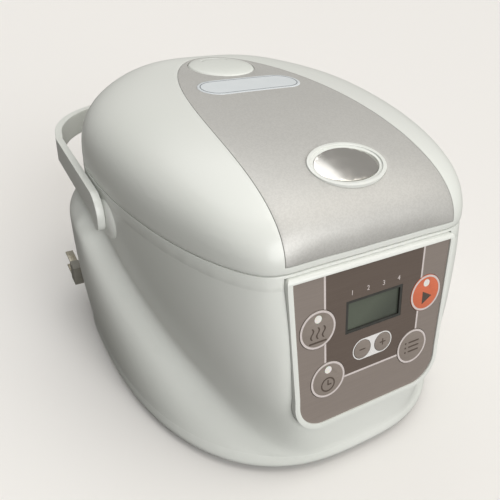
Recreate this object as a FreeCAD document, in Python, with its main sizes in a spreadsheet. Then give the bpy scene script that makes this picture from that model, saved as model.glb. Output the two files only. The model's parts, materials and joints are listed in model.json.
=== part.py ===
"""Rice cooker with a hinged lid, a carrying handle and a front control panel.

Millimetres, +Z up, the cooker stands on z = 0 and its front faces -Y.
Every driving dimension is a cell of the spreadsheet "Sizes".
"""
import FreeCAD
import Part
import Sketcher
import functools
import math
import os
import re

V = FreeCAD.Vector
Placement = FreeCAD.Placement
Rotation = FreeCAD.Rotation

SIZES = {
    # casing: plan at the seam, where lid and body meet
    "seam_height": 145.0,
    "seam_half": 117.5,
    "seam_front": -139.5,
    "seam_middle": 12.0,
    "seam_back": 109.0,
    "flat_half": 59.5,
    "corner_power": 1.8,
    "rear_power": 2.3,
    # casing: core that narrows below the seam
    "core_base_half": 84.0,
    "core_base_flat": 30.0,
    "core_base_back": 60.0,
    "core_power": 1.9,
    "foot_height": 50.0,
    "foot_power": 1.3,
    "belly_depth": 23.0,
    "belly_power": 1.6,
    # casing: hip that stands out at the sides and the rear
    "hip_height": 105.0,
    "hip_half": 131.0,
    "hip_back": 120.0,
    "hip_front": -8.0,
    "hip_base_half": 123.0,
    "hip_base_back": 104.0,
    "hip_sweep": 1.4,
    "hip_power": 2.65,
    "hip_round": 21.0,
    "hip_ledge": 28.0,
    "crease_softness": 12.0,
    # casing: shells
    "casing_wall": 2.5,
    "base_bottom": 4.0,
    "band_height": 10.0,
    "band_round": 6.0,
    "base_floor": 2.5,
    "frame_height": 8.0,
    # lid
    "lid_gap": 0.4,
    "lid_rise": 50.0,
    "crown_y": 67.0,
    "crown_front_power": 3.0,
    "crown_back_power": 4.5,
    "arch_power": 3.3,
    "lid_wall": 2.4,
    "overrun": 3.0,
    "plate_thickness": 1.2,
    "plate_groove": 0.4,
    "plate_half": 59.0,
    "plate_start": -95.0,
    "plate_end": 84.5,
    "plate_power": 2.5,
    "plate_lift": 5.0,
    "lid_base_gap": 1.4,
    "lid_base_thickness": 3.0,
    # cooking pot and its well
    "pot_middle": -22.0,
    "pot_radius": 89.0,
    "pot_wall": 1.6,
    "pot_bottom": 38.0,
    "pot_corner": 22.0,
    "flange_width": 5.5,
    "flange_thickness": 1.6,
    "flange_drop": 4.0,
    "well_gap": 1.6,
    "seat_gap": 1.0,
    "well_radius": 96.5,
    "well_wall": 1.0,
    "well_bottom": 26.0,
    "well_corner": 18.0,
    "well_lip": 4.0,
    "heater_radius": 66.0,
    "heater_gap": 0.3,
    "sensor_radius": 15.0,
    "sensor_gap": 1.0,
    "sensor_height": 14.0,
    "thermal_fuse_radius": 3.0,
    "thermal_fuse_length": 16.0,
    "thermal_fuse_y": 50.0,
    "spring_wire": 1.4,
    "spring_radius": 8.0,
    "inner_lid_radius": 90.0,
    "inner_lid_thickness": 1.2,
    "seal_radius": 91.0,
    "seal_width": 5.0,
    # control panel, drawn in its own leaning plane
    "panel_lean": 11.2,
    "panel_top_y": -143.0,
    "panel_drop": 1.0,
    "panel_half": 59.5,
    "panel_low_half": 55.3,
    "panel_straight": 6.0,
    "panel_shoulder": 77.0,
    "panel_length": 104.0,
    "panel_corner": 21.0,
    "panel_thickness": 6.0,
    "rim_width": 3.2,
    "film_thickness": 0.6,
    "film_drop": 0.8,
    "fit_gap": 0.3,
    "button_radius": 12.0,
    "upper_button_x": 40.0,
    "upper_button_y": 35.2,
    "lower_button_x": 32.4,
    "lower_button_y": 71.0,
    "small_button_radius": 6.1,
    "small_button_x": 7.7,
    "small_button_y": 59.0,
    "button_proud": 0.3,
    "button_travel": 0.8,
    "button_flange": 1.2,
    "flange_depth": 1.5,
    "screen_half": 20.8,
    "screen_top": 23.7,
    "screen_height": 21.3,
    "screen_depth": 2.2,
    "panel_post_x": 46.0,
    "panel_post_top": 12.0,
    "panel_post_low": 81.0,
    "board_screw_length": 6.0,
    "lens_thickness": 1.2,
    "board_thickness": 1.6,
    "board_depth": 12.4,
    "board_half": 50.0,
    "board_height": 80.0,
    "board_top": 6.0,
    "panel_gap": 0.15,
    "switch_half": 3.0,
    "lamp_radius": 2.4,
    "lamp_offset": 6.7,
    # steam outlet
    "cap_y": 56.5,
    "cap_radius": 25.2,
    "cap_proud": 2.2,
    "cap_height": 14.0,
    "cap_skirt": 2.0,
    "cap_gap": 0.4,
    "socket_wall": 1.5,
    "socket_floor": 2.0,
    "tube_radius": 9.0,
    "steam_hole_radius": 5.0,
    "cap_vent_radius": 17.0,
    "cap_vent_width": 2.6,
    "cap_vent_half": 11.0,
    # lid latch
    "latch_y": -104.5,
    "latch_half": 25.6,
    "latch_depth_half": 18.2,
    "latch_rim": 4.2,
    "latch_proud": 0.6,
    "latch_thickness": 4.0,
    "latch_cup": 9.0,
    "latch_floor": 1.5,
    "latch_step": 1.0,
    "latch_dome_radius": 150.0,
    "latch_crown": 0.6,
    "stem_radius": 3.0,
    "stem_offset": 9.0,
    "stem_length": 18.0,
    "hook_width": 14.0,
    "hook_thickness": 3.0,
    "hook_reach": 5.0,
    "hook_pin_radius": 1.5,
    "hook_pin_height": 12.0,
    "hook_pin_y": -131.0,
    "hook_arm_length": 26.0,
    "hook_nose_length": 2.0,
    "ear_width": 3.0,
    "slot_front": -134.8,
    "slot_length": 8.0,
    # hinge
    "hinge_y": 113.5,
    "hinge_height": 147.0,
    "hinge_pin_radius": 2.5,
    "hinge_knuckle_radius": 6.0,
    "hinge_half": 42.0,
    "notch_gap": 0.6,
    "hinge_lug_width": 8.0,
    "lug_root_y": 98.0,
    "knuckle_root_y": 95.0,
    "spring_half": 14.5,
    "pin_gap": 0.05,
    # carrying handle
    "handle_inner": 118.2,
    "handle_thickness": 5.0,
    "handle_back": 165.0,
    "handle_bow_start": 70.0,
    "handle_bow_power": 2.6,
    "handle_low": 125.0,
    "handle_high": 143.0,
    "pivot_y": -14.0,
    "pivot_height": 126.0,
    "pivot_boss_radius": 7.5,
    "pivot_pin_radius": 3.5,
    "pin_bite": 3.6,
    "knee_run": 9.0,
    "knee_drop": 9.0,
    "bracket_inner": 105.5,
    "bracket_thickness": 4.5,
    # cord reel and plug
    "reel_height": 55.0,
    "reel_back": 93.0,
    "reel_radius": 34.0,
    "reel_width": 14.0,
    "reel_core_radius": 14.0,
    "reel_flange": 1.2,
    "cord_radius": 29.0,
    "axle_radius": 3.0,
    "reel_gap": 0.6,
    "bracket_plate": 2.0,
    "reel_plate_width": 24.0,
    "plug_proud": 7.0,
    "plug_neck_length": 14.0,
    "outlet_length": 10.0,
    "plug_reach": 123.0,
    "plug_y": 58.0,
    "plug_height": 38.0,
    "outlet_radius": 6.0,
    "plug_width": 12.0,
    "plug_tall": 16.0,
    "blade_length": 17.0,
    "blade_width": 6.0,
    "blade_thickness": 1.5,
    "blade_spacing": 12.7,
    # boards, screws and feet
    "power_board_length": 70.0,
    "power_board_width": 40.0,
    "power_board_front": -96.0,
    "power_board_lift": 2.0,
    "post_radius": 3.5,
    "screw_radius": 1.6,
    "screw_head_radius": 3.2,
    "screw_head_height": 2.0,
    "screw_length": 10.0,
    "foot_radius": 8.0,
    "foot_recess": 1.5,
    "foot_x": 70.0,
    "foot_front": -95.0,
    "foot_back": 45.0,
    "post_front_x": 58.0,
    "post_front_y": -112.0,
    "post_back_x": 80.0,
    "post_back_y": 55.0,
    "vent_length": 60.0,
    "vent_pitch": 9.0,
}

doc = FreeCAD.newDocument("RiceCooker")
sheet = doc.addObject("Spreadsheet::Sheet", "Sizes")
for row, (word, number) in enumerate(SIZES.items(), start=1):
    sheet.set(f"A{row}", word)
    sheet.set(f"B{row}", str(number))
    sheet.setAlias(f"B{row}", word)
doc.recompute()

NODES = []


# ---------------------------------------------------------------- helpers

def bind(text):
    """The expression with every size in it written as a cell of the sheet."""
    return re.sub(r"[a-z]\w+", lambda word: "Sizes." + word[0] if word[0] in SIZES else word[0], text)


@functools.lru_cache(maxsize=None)
def size(text):
    """The value of an expression of sizes."""
    value = sheet.evalExpression(bind(text))
    return float(getattr(value, "Value", value))


def turned(axis):
    """The rotation that lays a piece drawn along Z along another axis."""
    return {"x": Rotation(V(0, 1, 0), 90), "y": Rotation(V(1, 0, 0), -90), "z": Rotation()}[axis]


def put(item, at, rotation=None):
    """Places an item by three expressions."""
    item.Placement = Placement(V(), rotation or Rotation())
    for axis, text in zip("xyz", at):
        item.setExpression(f"Placement.Base.{axis}", bind(text))
    return item


def box(name, length, width, height, at):
    item = doc.addObject("Part::Box", name)
    item.setExpression("Length", bind(length))
    item.setExpression("Width", bind(width))
    item.setExpression("Height", bind(height))
    return put(item, at)


def cylinder(name, radius, height, at, axis="z"):
    item = doc.addObject("Part::Cylinder", name)
    item.setExpression("Radius", bind(radius))
    item.setExpression("Height", bind(height))
    return put(item, at, turned(axis))


def oval(name, long_half, short_half, thickness, at):
    """An upright oval plate, its long half along X."""
    curve = doc.addObject("Part::Ellipse", name + "_curve")
    curve.setExpression("MajorRadius", bind(long_half))
    curve.setExpression("MinorRadius", bind(short_half))
    put(curve, at)
    item = doc.addObject("Part::Extrusion", name)
    item.Base = curve
    item.Dir = V(0, 0, 1)
    item.Solid = True
    item.setExpression("LengthFwd", bind(thickness))
    return item


def fuse(name, *items):
    item = doc.addObject("Part::MultiFuse", name)
    item.Shapes = list(items)
    item.Refine = False
    return item


def group(name, *items):
    """Several separate solids that make one node."""
    item = doc.addObject("Part::Compound", name)
    item.Links = list(items)
    return item


def cut(name, base, *tools):
    """Takes the tools off one after another."""
    for index, tool in enumerate(tools, start=1):
        item = doc.addObject("Part::Cut", f"{name}_{index}")
        item.Base = base
        item.Tool = tool
        item.Refine = False
        base = item
    return base


def common(name, base, tool):
    item = doc.addObject("Part::Common", name)
    item.Base = base
    item.Tool = tool
    item.Refine = False
    return item


def shape(name, solid):
    """A piece whose form is worked out below from the sizes."""
    item = doc.addObject("Part::Feature", name)
    item.Shape = solid
    return item


def plane_of(body, role):
    return [item for item in body.Origin.OriginFeatures if item.Role == role][0]


def outline(body, name, role, points):
    """A closed sketch whose corners are held from the origin by expressions."""
    sketch = body.newObject("Sketcher::SketchObject", name)
    sketch.AttachmentSupport = [(plane_of(body, role), "")]
    sketch.MapMode = "FlatFace"
    places = [(size(x), size(y)) for x, y in points]
    for start, end in zip(places, places[1:] + places[:1]):
        sketch.addGeometry(Part.LineSegment(V(*start), V(*end)), False)
    for index in range(len(points)):
        sketch.addConstraint(Sketcher.Constraint("Coincident", index, 2, (index + 1) % len(points), 1))
    for index, (texts, values) in enumerate(zip(points, places)):
        for kind, text, value in zip(("DistanceX", "DistanceY"), texts, values):
            held = sketch.addConstraint(Sketcher.Constraint(kind, -1, 1, index, 1, value))
            sketch.setExpression(f"Constraints[{held}]", bind(text))
    return sketch


def revolved(name, points):
    """A body turned about Z from its (radius, height) outline."""
    body = doc.addObject("PartDesign::Body", name)
    sketch = outline(body, name + "_outline", "XZ_Plane", points)
    feature = body.newObject("PartDesign::Revolution", name + "_turn")
    feature.Profile = sketch
    feature.ReferenceAxis = (sketch, ["V_Axis"])
    feature.Angle = 360
    doc.recompute()
    return body


def padded(name, points, thickness, role="XY_Plane"):
    """A body raised from a flat outline."""
    body = doc.addObject("PartDesign::Body", name)
    sketch = outline(body, name + "_outline", role, points)
    feature = body.newObject("PartDesign::Pad", name + "_pad")
    feature.Profile = sketch
    feature.setExpression("Length", bind(thickness))
    doc.recompute()
    return body


def round_edges(body, radius, wanted):
    """Fillets the edges of a body whose middle the test accepts."""
    base = body.Tip
    names = []
    for index, edge in enumerate(base.Shape.Edges, start=1):
        if wanted(edge, edge.CenterOfMass):
            names.append(f"Edge{index}")
    feature = body.newObject("PartDesign::Fillet", f"{body.Name}_round{len(body.Group)}")
    feature.Base = (base, names)
    feature.setExpression("Radius", bind(radius))
    doc.recompute()
    return body


def near(value, text):
    return abs(value - size(text)) < 0.01


def node(item, name):
    """Marks a finished piece: its label is the name of its node."""
    item.Label = name
    NODES.append(item)
    return item


# ---------------------------------------------------------------- casing

CASING_POINTS = 88
LID_POINTS = 60


def power_sum(first, second, power):
    return (max(first, 0.0) ** power + max(second, 0.0) ** power) ** (1.0 / power)


def reach_of(angle, half, flat, front, middle, back, front_power, back_power):
    """How far a rounded plan reaches from (0, middle); angle 0 looks to the front."""
    across = abs(math.sin(angle))
    ahead = math.cos(angle)

    def inside(reach):
        x = reach * across
        y = abs(reach * ahead)
        if ahead < 0:
            return power_sum(x / half, y / (back - middle), back_power) < 1
        return power_sum((x - flat) / (half - flat), y / (middle - front), front_power) < 1

    low = 0.0
    high = 3.0 * half
    for _ in range(36):
        reach = 0.5 * (low + high)
        if inside(reach):
            low = reach
        else:
            high = reach
    return low


def front_at(height):
    """The casing's front line, which runs out towards the base."""
    down = (size("seam_height") - height) / size("seam_height - base_bottom")
    left = min(max(1 - down, 0.0), 1.0)
    return size("seam_front") - size("belly_depth") * (1 - left ** size("belly_power"))


def core_reach(angle, height):
    """The casing's core, which carries on the lid's plan and narrows downwards."""
    drop = 1 - height / size("seam_height")
    share = 1 - max(drop, 0.0) ** size("core_power")
    half = size("core_base_half") + size("seam_half - core_base_half") * share
    flat = size("core_base_flat") + size("flat_half - core_base_flat") * share
    back = size("core_base_back") + size("seam_back - core_base_back") * share
    plan = reach_of(angle, half, flat, front_at(height), size("seam_middle"), back,
                    size("corner_power"), size("rear_power"))
    down = max(1 - (height - size("base_bottom")) / size("foot_height"), 0.0)
    if down == 0:
        return plan
    foot = reach_of(angle, size("hip_base_half"), 0.0, front_at(height), size("seam_middle"),
                    size("hip_base_back"), size("hip_power"), size("rear_power"))
    return plan + (foot - plan) * min(down, 1.0) ** size("foot_power")


def hip_reach(angle, height):
    """The hip, which stands out below the handle and runs round into the base."""
    up = (height - size("base_bottom")) / size("hip_height - base_bottom")
    share = max(min(up, 1.0), 0.0)
    swell = math.sin(share * math.pi / 2)
    half = size("hip_base_half") + size("hip_half - hip_base_half") * swell
    back = size("hip_base_back") + size("hip_back - hip_base_back") * swell
    retreat = size("hip_front") - front_at(size("hip_height"))
    front = front_at(height) + retreat * share ** size("hip_sweep")
    reach = reach_of(angle, half, 0.0, front, size("seam_middle"), back, size("hip_power"), size("rear_power"))
    over = max(height - size("hip_height"), 0.0) / size("hip_round")
    return reach - size("hip_ledge") * over ** 2


def casing_reach(angle, height):
    """Core and hip run into each other over a soft crease."""
    core = core_reach(angle, height)
    if height > size("hip_height + hip_round"):
        return core
    hip = hip_reach(angle, height)
    soft = size("crease_softness")
    return max(core, hip) + max(soft - abs(core - hip), 0.0) ** 2 / (4 * soft)


def closed_curve(points):
    curve = Part.BSplineCurve()
    curve.interpolate(Points=points, PeriodicFlag=True)
    return Part.Wire(curve.toShape())


def casing_curve(height, inset):
    """One level curve of the casing."""
    points = []
    for index in range(CASING_POINTS):
        angle = 2 * math.pi * index / CASING_POINTS
        reach = casing_reach(angle, height) - inset
        points.append(V(reach * math.sin(angle), size("seam_middle") - reach * math.cos(angle), height))
    return closed_curve(points)


def spread(low, high, count):
    """Evenly spaced values from low to high."""
    return [low + (high - low) * index / count for index in range(count + 1)]


def solid_through(curves):
    return Part.makeLoft(curves, True, False)


def casing_solid(levels):
    """A solid through the casing's level curves, each given as (height, inset)."""
    return solid_through([casing_curve(height, inset) for height, inset in levels])


def shell_between(outer, inner):
    """A wall open at both ends between two stacks of level curves."""
    faces = Part.makeLoft(outer, False, False).Faces + Part.makeLoft(inner, False, False).Faces
    for end in (0, -1):
        faces.append(Part.makeFace([outer[end], inner[end]], "Part::FaceMakerBullseye"))
    wall = Part.makeShell(faces)
    wall.sewShape()
    return Part.makeSolid(wall)


# ---------------------------------------------------------------- lid form

def plan_half(y, inset):
    """Half the width of the lid's plan at y."""
    if y < size("seam_middle"):
        share = (size("seam_middle") - y) / (size("seam_middle - seam_front") - inset)
        power = size("corner_power")
        flat = size("flat_half")
        return flat - inset + (size("seam_half") - flat) * max(1 - share ** power, 0.0) ** (1 / power)
    share = (y - size("seam_middle")) / (size("seam_back - seam_middle") - inset)
    power = size("rear_power")
    return (size("seam_half") - inset) * max(1 - share ** power, 0.0) ** (1 / power)


def lid_rise_at(x, y, inset):
    """Height of the lid's surface above the seam."""
    front = size("seam_front") + inset
    back = size("seam_back") - inset
    if not front < y < back:
        return 0.0
    if y < size("crown_y"):
        share = (size("crown_y") - y) / (size("crown_y") - front)
        power = size("crown_front_power")
    else:
        share = (y - size("crown_y")) / (back - size("crown_y"))
        power = size("crown_back_power")
    crest = (size("lid_rise") - inset) * (1 - share ** power) ** (1 / power)
    half = plan_half(y, inset)
    if abs(x) >= half:
        return 0.0
    arch = size("arch_power")
    return crest * (1 - (abs(x) / half) ** arch) ** (1 / arch)


def lid_curve(rise, inset, height):
    """The level curve of the lid at a rise above the seam, laid at a height."""
    points = []
    for index in range(LID_POINTS):
        angle = 2 * math.pi * index / LID_POINTS
        low = 0.0
        high = 250.0
        for _ in range(34):
            reach = 0.5 * (low + high)
            x = reach * math.sin(angle)
            y = size("crown_y") - reach * math.cos(angle)
            if lid_rise_at(x, y, inset) > max(rise, 0.001):
                low = reach
            else:
                high = reach
        points.append(V(low * math.sin(angle), size("crown_y") - low * math.cos(angle), height))
    return closed_curve(points)


def lid_levels(inset, bottom):
    """Level curves from the bottom height to the crown, closer together near the top."""
    top = size("lid_rise") - inset
    start = bottom - size("seam_height")
    count = 11
    curves = []
    for index in range(count + 1):
        rise = start + (top - start) * math.sin(0.5 * math.pi * index / (count + 0.6))
        curves.append(lid_curve(rise, inset, size("seam_height") + rise))
    return curves


def surface_at(y):
    """Height and backward slope in degrees of the lid's crest at y."""
    step = 2.0
    before = lid_rise_at(0, y - step, 0)
    after = lid_rise_at(0, y + step, 0)
    return size("seam_height") + lid_rise_at(0, y, 0), math.degrees(math.atan2(after - before, 2 * step))


def level_plate(inset, bottom, top):
    """A flat plate with the lid's plan, drawn in by an inset."""
    rise = 0.5
    return solid_through([lid_curve(rise, inset, bottom), lid_curve(rise, inset, top)])


def plate_prism(spare, bottom, top):
    """An upright prism over the tongue of the lid's top plate, widened by a spare."""
    half = size("plate_half") + spare
    start = size("plate_start")
    end = size("plate_end") + spare
    count = 14
    side = []
    for index in range(count + 1):
        share = math.sin(0.5 * math.pi * index / count)
        side.append(V(half * (1 - share ** size("plate_power")) ** 0.5, start + (end - start) * share, bottom))
    mirrored = [V(-point.x, point.y, point.z) for point in reversed(side[:-1])]
    curve = Part.BSplineCurve()
    curve.interpolate(Points=side + mirrored)
    front = size("seam_front") - 10
    corners = [mirrored[-1], V(-half, front, bottom), V(half, front, bottom), side[0]]
    edges = [curve.toShape()] + [Part.makeLine(a, b) for a, b in zip(corners, corners[1:])]
    return Part.Face(Part.Wire(edges)).extrude(V(0, 0, top - bottom))


# ---------------------------------------------------------------- casing pieces

def panel_frame(item, depth="0"):
    """Carries a piece drawn flat into the leaning plane of the control panel."""
    put(item, ("0", "panel_top_y", "seam_height - panel_drop"), Rotation(V(1, 0, 0), 90 - size("panel_lean")))
    item.setExpression("Placement.Rotation.Angle", bind("90 - panel_lean"))
    return item


def panel_prism(name, spare, bottom, thickness):
    """The panel's outline, widened by a spare: straight top, tapering sides, round lower corners."""
    half = f"(panel_half + {spare})"
    low = f"(panel_low_half + {spare})"
    foot = f"(-panel_length - {spare})"
    points = [(f"-{half}", spare), (f"-{half}", "-panel_straight"), (f"-{low}", "-panel_shoulder"), (f"-{low}", foot),
              (low, foot), (low, "-panel_shoulder"), (half, "-panel_straight"), (half, spare)]
    body = padded(name, points, thickness)
    foot_y = size(foot)
    round_edges(body, f"panel_corner + {spare}", lambda edge, middle: abs(middle.y - foot_y) < 0.01
                and edge.BoundBox.ZLength > 0.1)
    body.setExpression("Placement.Base.z", bind(bottom))
    return body


def panel_cutter(name):
    """Clears the casing where the panel sits."""
    prism = panel_prism(name + "_prism", "panel_gap", "-panel_thickness - 6", "panel_thickness + 14")
    return panel_frame(group(name, prism))


frame_bottom = size("seam_height - frame_height")
band_top = size("base_bottom + band_height")
wall = size("casing_wall")

levels = spread(band_top, frame_bottom, 24)
casing_shell = shape("casing_shell", shell_between([casing_curve(level, 0) for level in levels],
                                                   [casing_curve(level, wall) for level in levels]))
pin_holes = group("pin_holes",
                  cylinder("pin_hole_left", "pivot_pin_radius + pin_gap", "20",
                           ("-handle_inner - 2", "pivot_y", "pivot_height"), "x"),
                  cylinder("pin_hole_right", "pivot_pin_radius + pin_gap", "20",
                           ("handle_inner - 18", "pivot_y", "pivot_height"), "x"))
cord_hole = cylinder("cord_hole", "outlet_radius", "30", ("-plug_reach - 10", "plug_y", "plug_height"), "x")
outer_body = cut("outer_body_cut", casing_shell, panel_cutter("body_window"), pin_holes, cord_hole)
node(outer_body, "outer_body")

# base cover: a floor with a rounded edge, pockets for the feet and holes for the screws
rounding = size("band_round")
bottom = size("base_bottom")
outer_levels = [(bottom + rounding * (1 - math.cos(turn)), rounding * (1 - math.sin(turn)))
                for turn in spread(0, math.pi / 2, 4)]
base_solid = shape("base_solid", casing_solid(outer_levels + [(band_top, 0)]))
floor = size("base_bottom + base_floor")
base_hollow = shape("base_hollow", casing_solid([(level, wall + max(rounding - 4, 0) * (1 - share))
                                                 for share, level in zip(spread(0, 1, 3),
                                                                         spread(floor, band_top + 1, 3))]))


def at_corners(prefix, radius, height, level, front, back, across):
    """Four upright cylinders at the corners of a rectangle."""
    places = [("-" + across, front), (across, front), ("-" + across, back), (across, back)]
    return [cylinder(f"{prefix}_{index}", radius, height, (x, y, level))
            for index, (x, y) in enumerate(places, start=1)]


def at_posts(prefix, radius, height, level):
    """Four upright cylinders where the frame's posts stand."""
    places = [("-post_front_x", "post_front_y"), ("post_front_x", "post_front_y"),
              ("-post_back_x", "post_back_y"), ("post_back_x", "post_back_y")]
    return [cylinder(f"{prefix}_{index}", radius, height, (x, y, level))
            for index, (x, y) in enumerate(places, start=1)]


foot_pockets = at_corners("foot_pocket", "foot_radius", "foot_recess", "base_bottom",
                          "foot_front", "foot_back", "foot_x")
post_bores = at_posts("post_bore", "screw_radius", "screw_length + 1", "base_bottom - 0.5")
vents = [box(f"vent_{index}", "3", "vent_length", "base_floor + 2",
             (f"{index} * vent_pitch - 1.5", "pot_middle - vent_length / 2", "base_bottom - 1"))
         for index in range(-3, 4)]
base_cover = cut("base_cover_cut", base_solid, base_hollow,
                 group("base_holes", *foot_pockets, *post_bores, *vents))
node(base_cover, "base_cover")

feet = group("feet_group", *at_corners("foot", "foot_radius", "base_bottom + foot_recess", "0",
                                       "foot_front", "foot_back", "foot_x"))
node(feet, "rubber_feet")


def screws(name, radius, head_radius, head_height, length, places, axis="z"):
    """Screws whose heads lie below their places and whose shanks run up from them."""
    items = []
    for index, (x, y, z) in enumerate(places, start=1):
        head = cylinder(f"{name}_head_{index}", head_radius, head_height, (x, y, f"({z}) - ({head_height})"))
        shank = cylinder(f"{name}_shank_{index}", radius, length, (x, y, z))
        items.append(fuse(f"{name}_{index}", head, shank))
    return group(name + "_group", *items)


base_screws = screws("base_screw", "screw_radius", "screw_head_radius", "screw_head_height", "screw_length",
                     [("-post_front_x", "post_front_y", "base_bottom"),
                      ("post_front_x", "post_front_y", "base_bottom"),
                      ("-post_back_x", "post_back_y", "base_bottom"),
                      ("post_back_x", "post_back_y", "base_bottom")])
node(base_screws, "base_screws")

# top frame: the rim under the lid, with the pot's seat, four posts and the hinge lugs
frame_solid = shape("frame_solid", casing_solid([(level, 0) for level in
                                                 spread(frame_bottom, size("seam_height"), 3)]))
posts = at_posts("post", "post_radius", "seam_height - frame_height - base_bottom - base_floor + 1",
                 "base_bottom + base_floor")
lugs = []
for side, start in (("left", "-hinge_half"), ("right", "hinge_half - hinge_lug_width")):
    lugs.append(cylinder(f"lug_eye_{side}", "hinge_knuckle_radius", "hinge_lug_width",
                         (start, "hinge_y", "hinge_height"), "x"))
    lugs.append(box(f"lug_neck_{side}", "hinge_lug_width", "2 * hinge_knuckle_radius",
                    "hinge_height - seam_height + frame_height",
                    (start, "hinge_y - hinge_knuckle_radius", "seam_height - frame_height")))
    lugs.append(box(f"lug_foot_{side}", "hinge_lug_width", "hinge_y + hinge_knuckle_radius - lug_root_y",
                    "frame_height - lid_gap",
                    (start, "lug_root_y", "seam_height - frame_height")))
frame_whole = fuse("frame_whole", frame_solid, *posts, *lugs)
well_hole = cylinder("well_hole", "pot_radius + well_gap", "200", ("0", "pot_middle", "seam_height - 100"))
flange_seat = cylinder("flange_seat", "pot_radius + flange_width + seat_gap", "flange_drop + 1",
                       ("0", "pot_middle", "seam_height - flange_drop"))
hook_slot = box("hook_slot", "hook_width + 4", "slot_length", "frame_height + 2",
                ("-hook_width / 2 - 2", "slot_front", "seam_height - frame_height - 1"))
lug_bores = cylinder("lug_bores", "hinge_pin_radius + pin_gap", "2 * hinge_half + 2",
                     ("-hinge_half - 1", "hinge_y", "hinge_height"), "x")
frame_bores = at_posts("frame_bore", "screw_radius", "screw_length + 1", "base_bottom - 0.5")
knuckle_room = cylinder("knuckle_room", "hinge_knuckle_radius + fit_gap", "2 * (hinge_half - hinge_lug_width)",
                        ("-hinge_half + hinge_lug_width", "hinge_y", "hinge_height"), "x")
top_frame = cut("top_frame_cut", frame_whole, well_hole, flange_seat, hook_slot, lug_bores, knuckle_room,
                panel_cutter("frame_window"), group("frame_bores", *frame_bores))
node(top_frame, "top_frame")

# ---------------------------------------------------------------- pot, well and heating

pot = revolved("inner_pot", [
    ("0", "pot_bottom"),
    ("pot_radius", "pot_bottom"),
    ("pot_radius", "seam_height - flange_drop"),
    ("pot_radius + flange_width", "seam_height - flange_drop"),
    ("pot_radius + flange_width", "seam_height - flange_drop + flange_thickness"),
    ("pot_radius - pot_wall", "seam_height - flange_drop + flange_thickness"),
    ("pot_radius - pot_wall", "pot_bottom + pot_wall"),
    ("0", "pot_bottom + pot_wall")])
round_edges(pot, "pot_corner", lambda edge, middle: near(edge.BoundBox.ZMax, "pot_bottom")
            and near(edge.BoundBox.XMax, "pot_radius"))
round_edges(pot, "pot_corner - pot_wall", lambda edge, middle: near(edge.BoundBox.ZMax, "pot_bottom + pot_wall")
            and near(edge.BoundBox.XMax, "pot_radius - pot_wall"))
pot.setExpression("Placement.Base.y", bind("pot_middle"))
node(pot, "inner_pot")

well = revolved("well_case", [
    ("sensor_radius + sensor_gap", "well_bottom"),
    ("well_radius + well_wall - well_corner", "well_bottom"),
    ("well_radius + well_wall", "well_bottom + well_corner"),
    ("well_radius + well_wall", "seam_height - frame_height - well_wall"),
    ("well_radius + well_lip", "seam_height - frame_height - well_wall"),
    ("well_radius + well_lip", "seam_height - frame_height"),
    ("well_radius", "seam_height - frame_height"),
    ("well_radius", "well_bottom + well_corner"),
    ("well_radius - well_corner", "well_bottom + well_wall"),
    ("sensor_radius + sensor_gap", "well_bottom + well_wall")])
well.setExpression("Placement.Base.y", bind("pot_middle"))
node(well, "well_case")

heater = revolved("heater_plate", [
    ("sensor_radius + sensor_gap", "well_bottom + well_wall"),
    ("heater_radius", "well_bottom + well_wall"),
    ("heater_radius", "pot_bottom - heater_gap"),
    ("sensor_radius + sensor_gap", "pot_bottom - heater_gap")])
heater.setExpression("Placement.Base.y", bind("pot_middle"))
node(heater, "heater_plate")

sensor = revolved("pot_sensor", [
    ("0", "pot_bottom - sensor_height"),
    ("sensor_radius - 3", "pot_bottom - sensor_height"),
    ("sensor_radius - 3", "pot_bottom - 3"),
    ("sensor_radius", "pot_bottom - 3"),
    ("sensor_radius", "pot_bottom - heater_gap"),
    ("0", "pot_bottom - heater_gap")])
sensor.setExpression("Placement.Base.y", bind("pot_middle"))
node(sensor, "pot_sensor")


fuse_body = cylinder("fuse_body", "thermal_fuse_radius", "thermal_fuse_length",
                     ("-thermal_fuse_length / 2", "pot_middle + thermal_fuse_y", "well_bottom - thermal_fuse_radius"),
                     "x")
node(fuse_body, "thermal_fuse")


def coil(name, radius, wire, bottom, top, turns, at_y):
    """A close helical spring standing on Z."""
    length = size(top) - size(bottom) - size(wire)
    helix = Part.makeHelix(length / turns, length, size(radius))
    profile = Part.Wire(Part.makeCircle(size(wire) / 2, V(size(radius), 0, 0), V(0, 1, 0)))
    solid = Part.Wire(helix.Edges).makePipeShell([profile], True, True)
    solid.translate(V(0, size(at_y), size(bottom) + size(wire) / 2))
    return shape(name, solid)


sensor_spring = coil("sensor_spring_coil", "spring_radius", "spring_wire", "base_bottom + base_floor",
                     "pot_bottom - sensor_height", 5, "pot_middle")
node(sensor_spring, "sensor_spring")


# ---------------------------------------------------------------- control panel

BUTTONS = {
    "keep_warm": ("-upper_button_x", "-upper_button_y", "button_radius"),
    "start": ("upper_button_x", "-upper_button_y", "button_radius"),
    "timer": ("-lower_button_x", "-lower_button_y", "button_radius"),
    "menu": ("lower_button_x", "-lower_button_y", "button_radius"),
    "minus": ("-small_button_x", "-small_button_y", "small_button_radius"),
    "plus": ("small_button_x", "-small_button_y", "small_button_radius"),
}
LAMPS = ("keep_warm", "start", "timer")


def button_holes(prefix, depth, thickness):
    return [cylinder(f"{prefix}_{word}_hole", f"{radius} + fit_gap", thickness, (x, y, depth))
            for word, (x, y, radius) in BUTTONS.items()]


def screen_hole(prefix, spare, depth, thickness):
    return box(f"{prefix}_screen_hole", f"2 * (screen_half + {spare})", f"screen_height + 2 * {spare}", thickness,
               (f"-screen_half - {spare}", f"-screen_top - screen_height - {spare}", depth))


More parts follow.
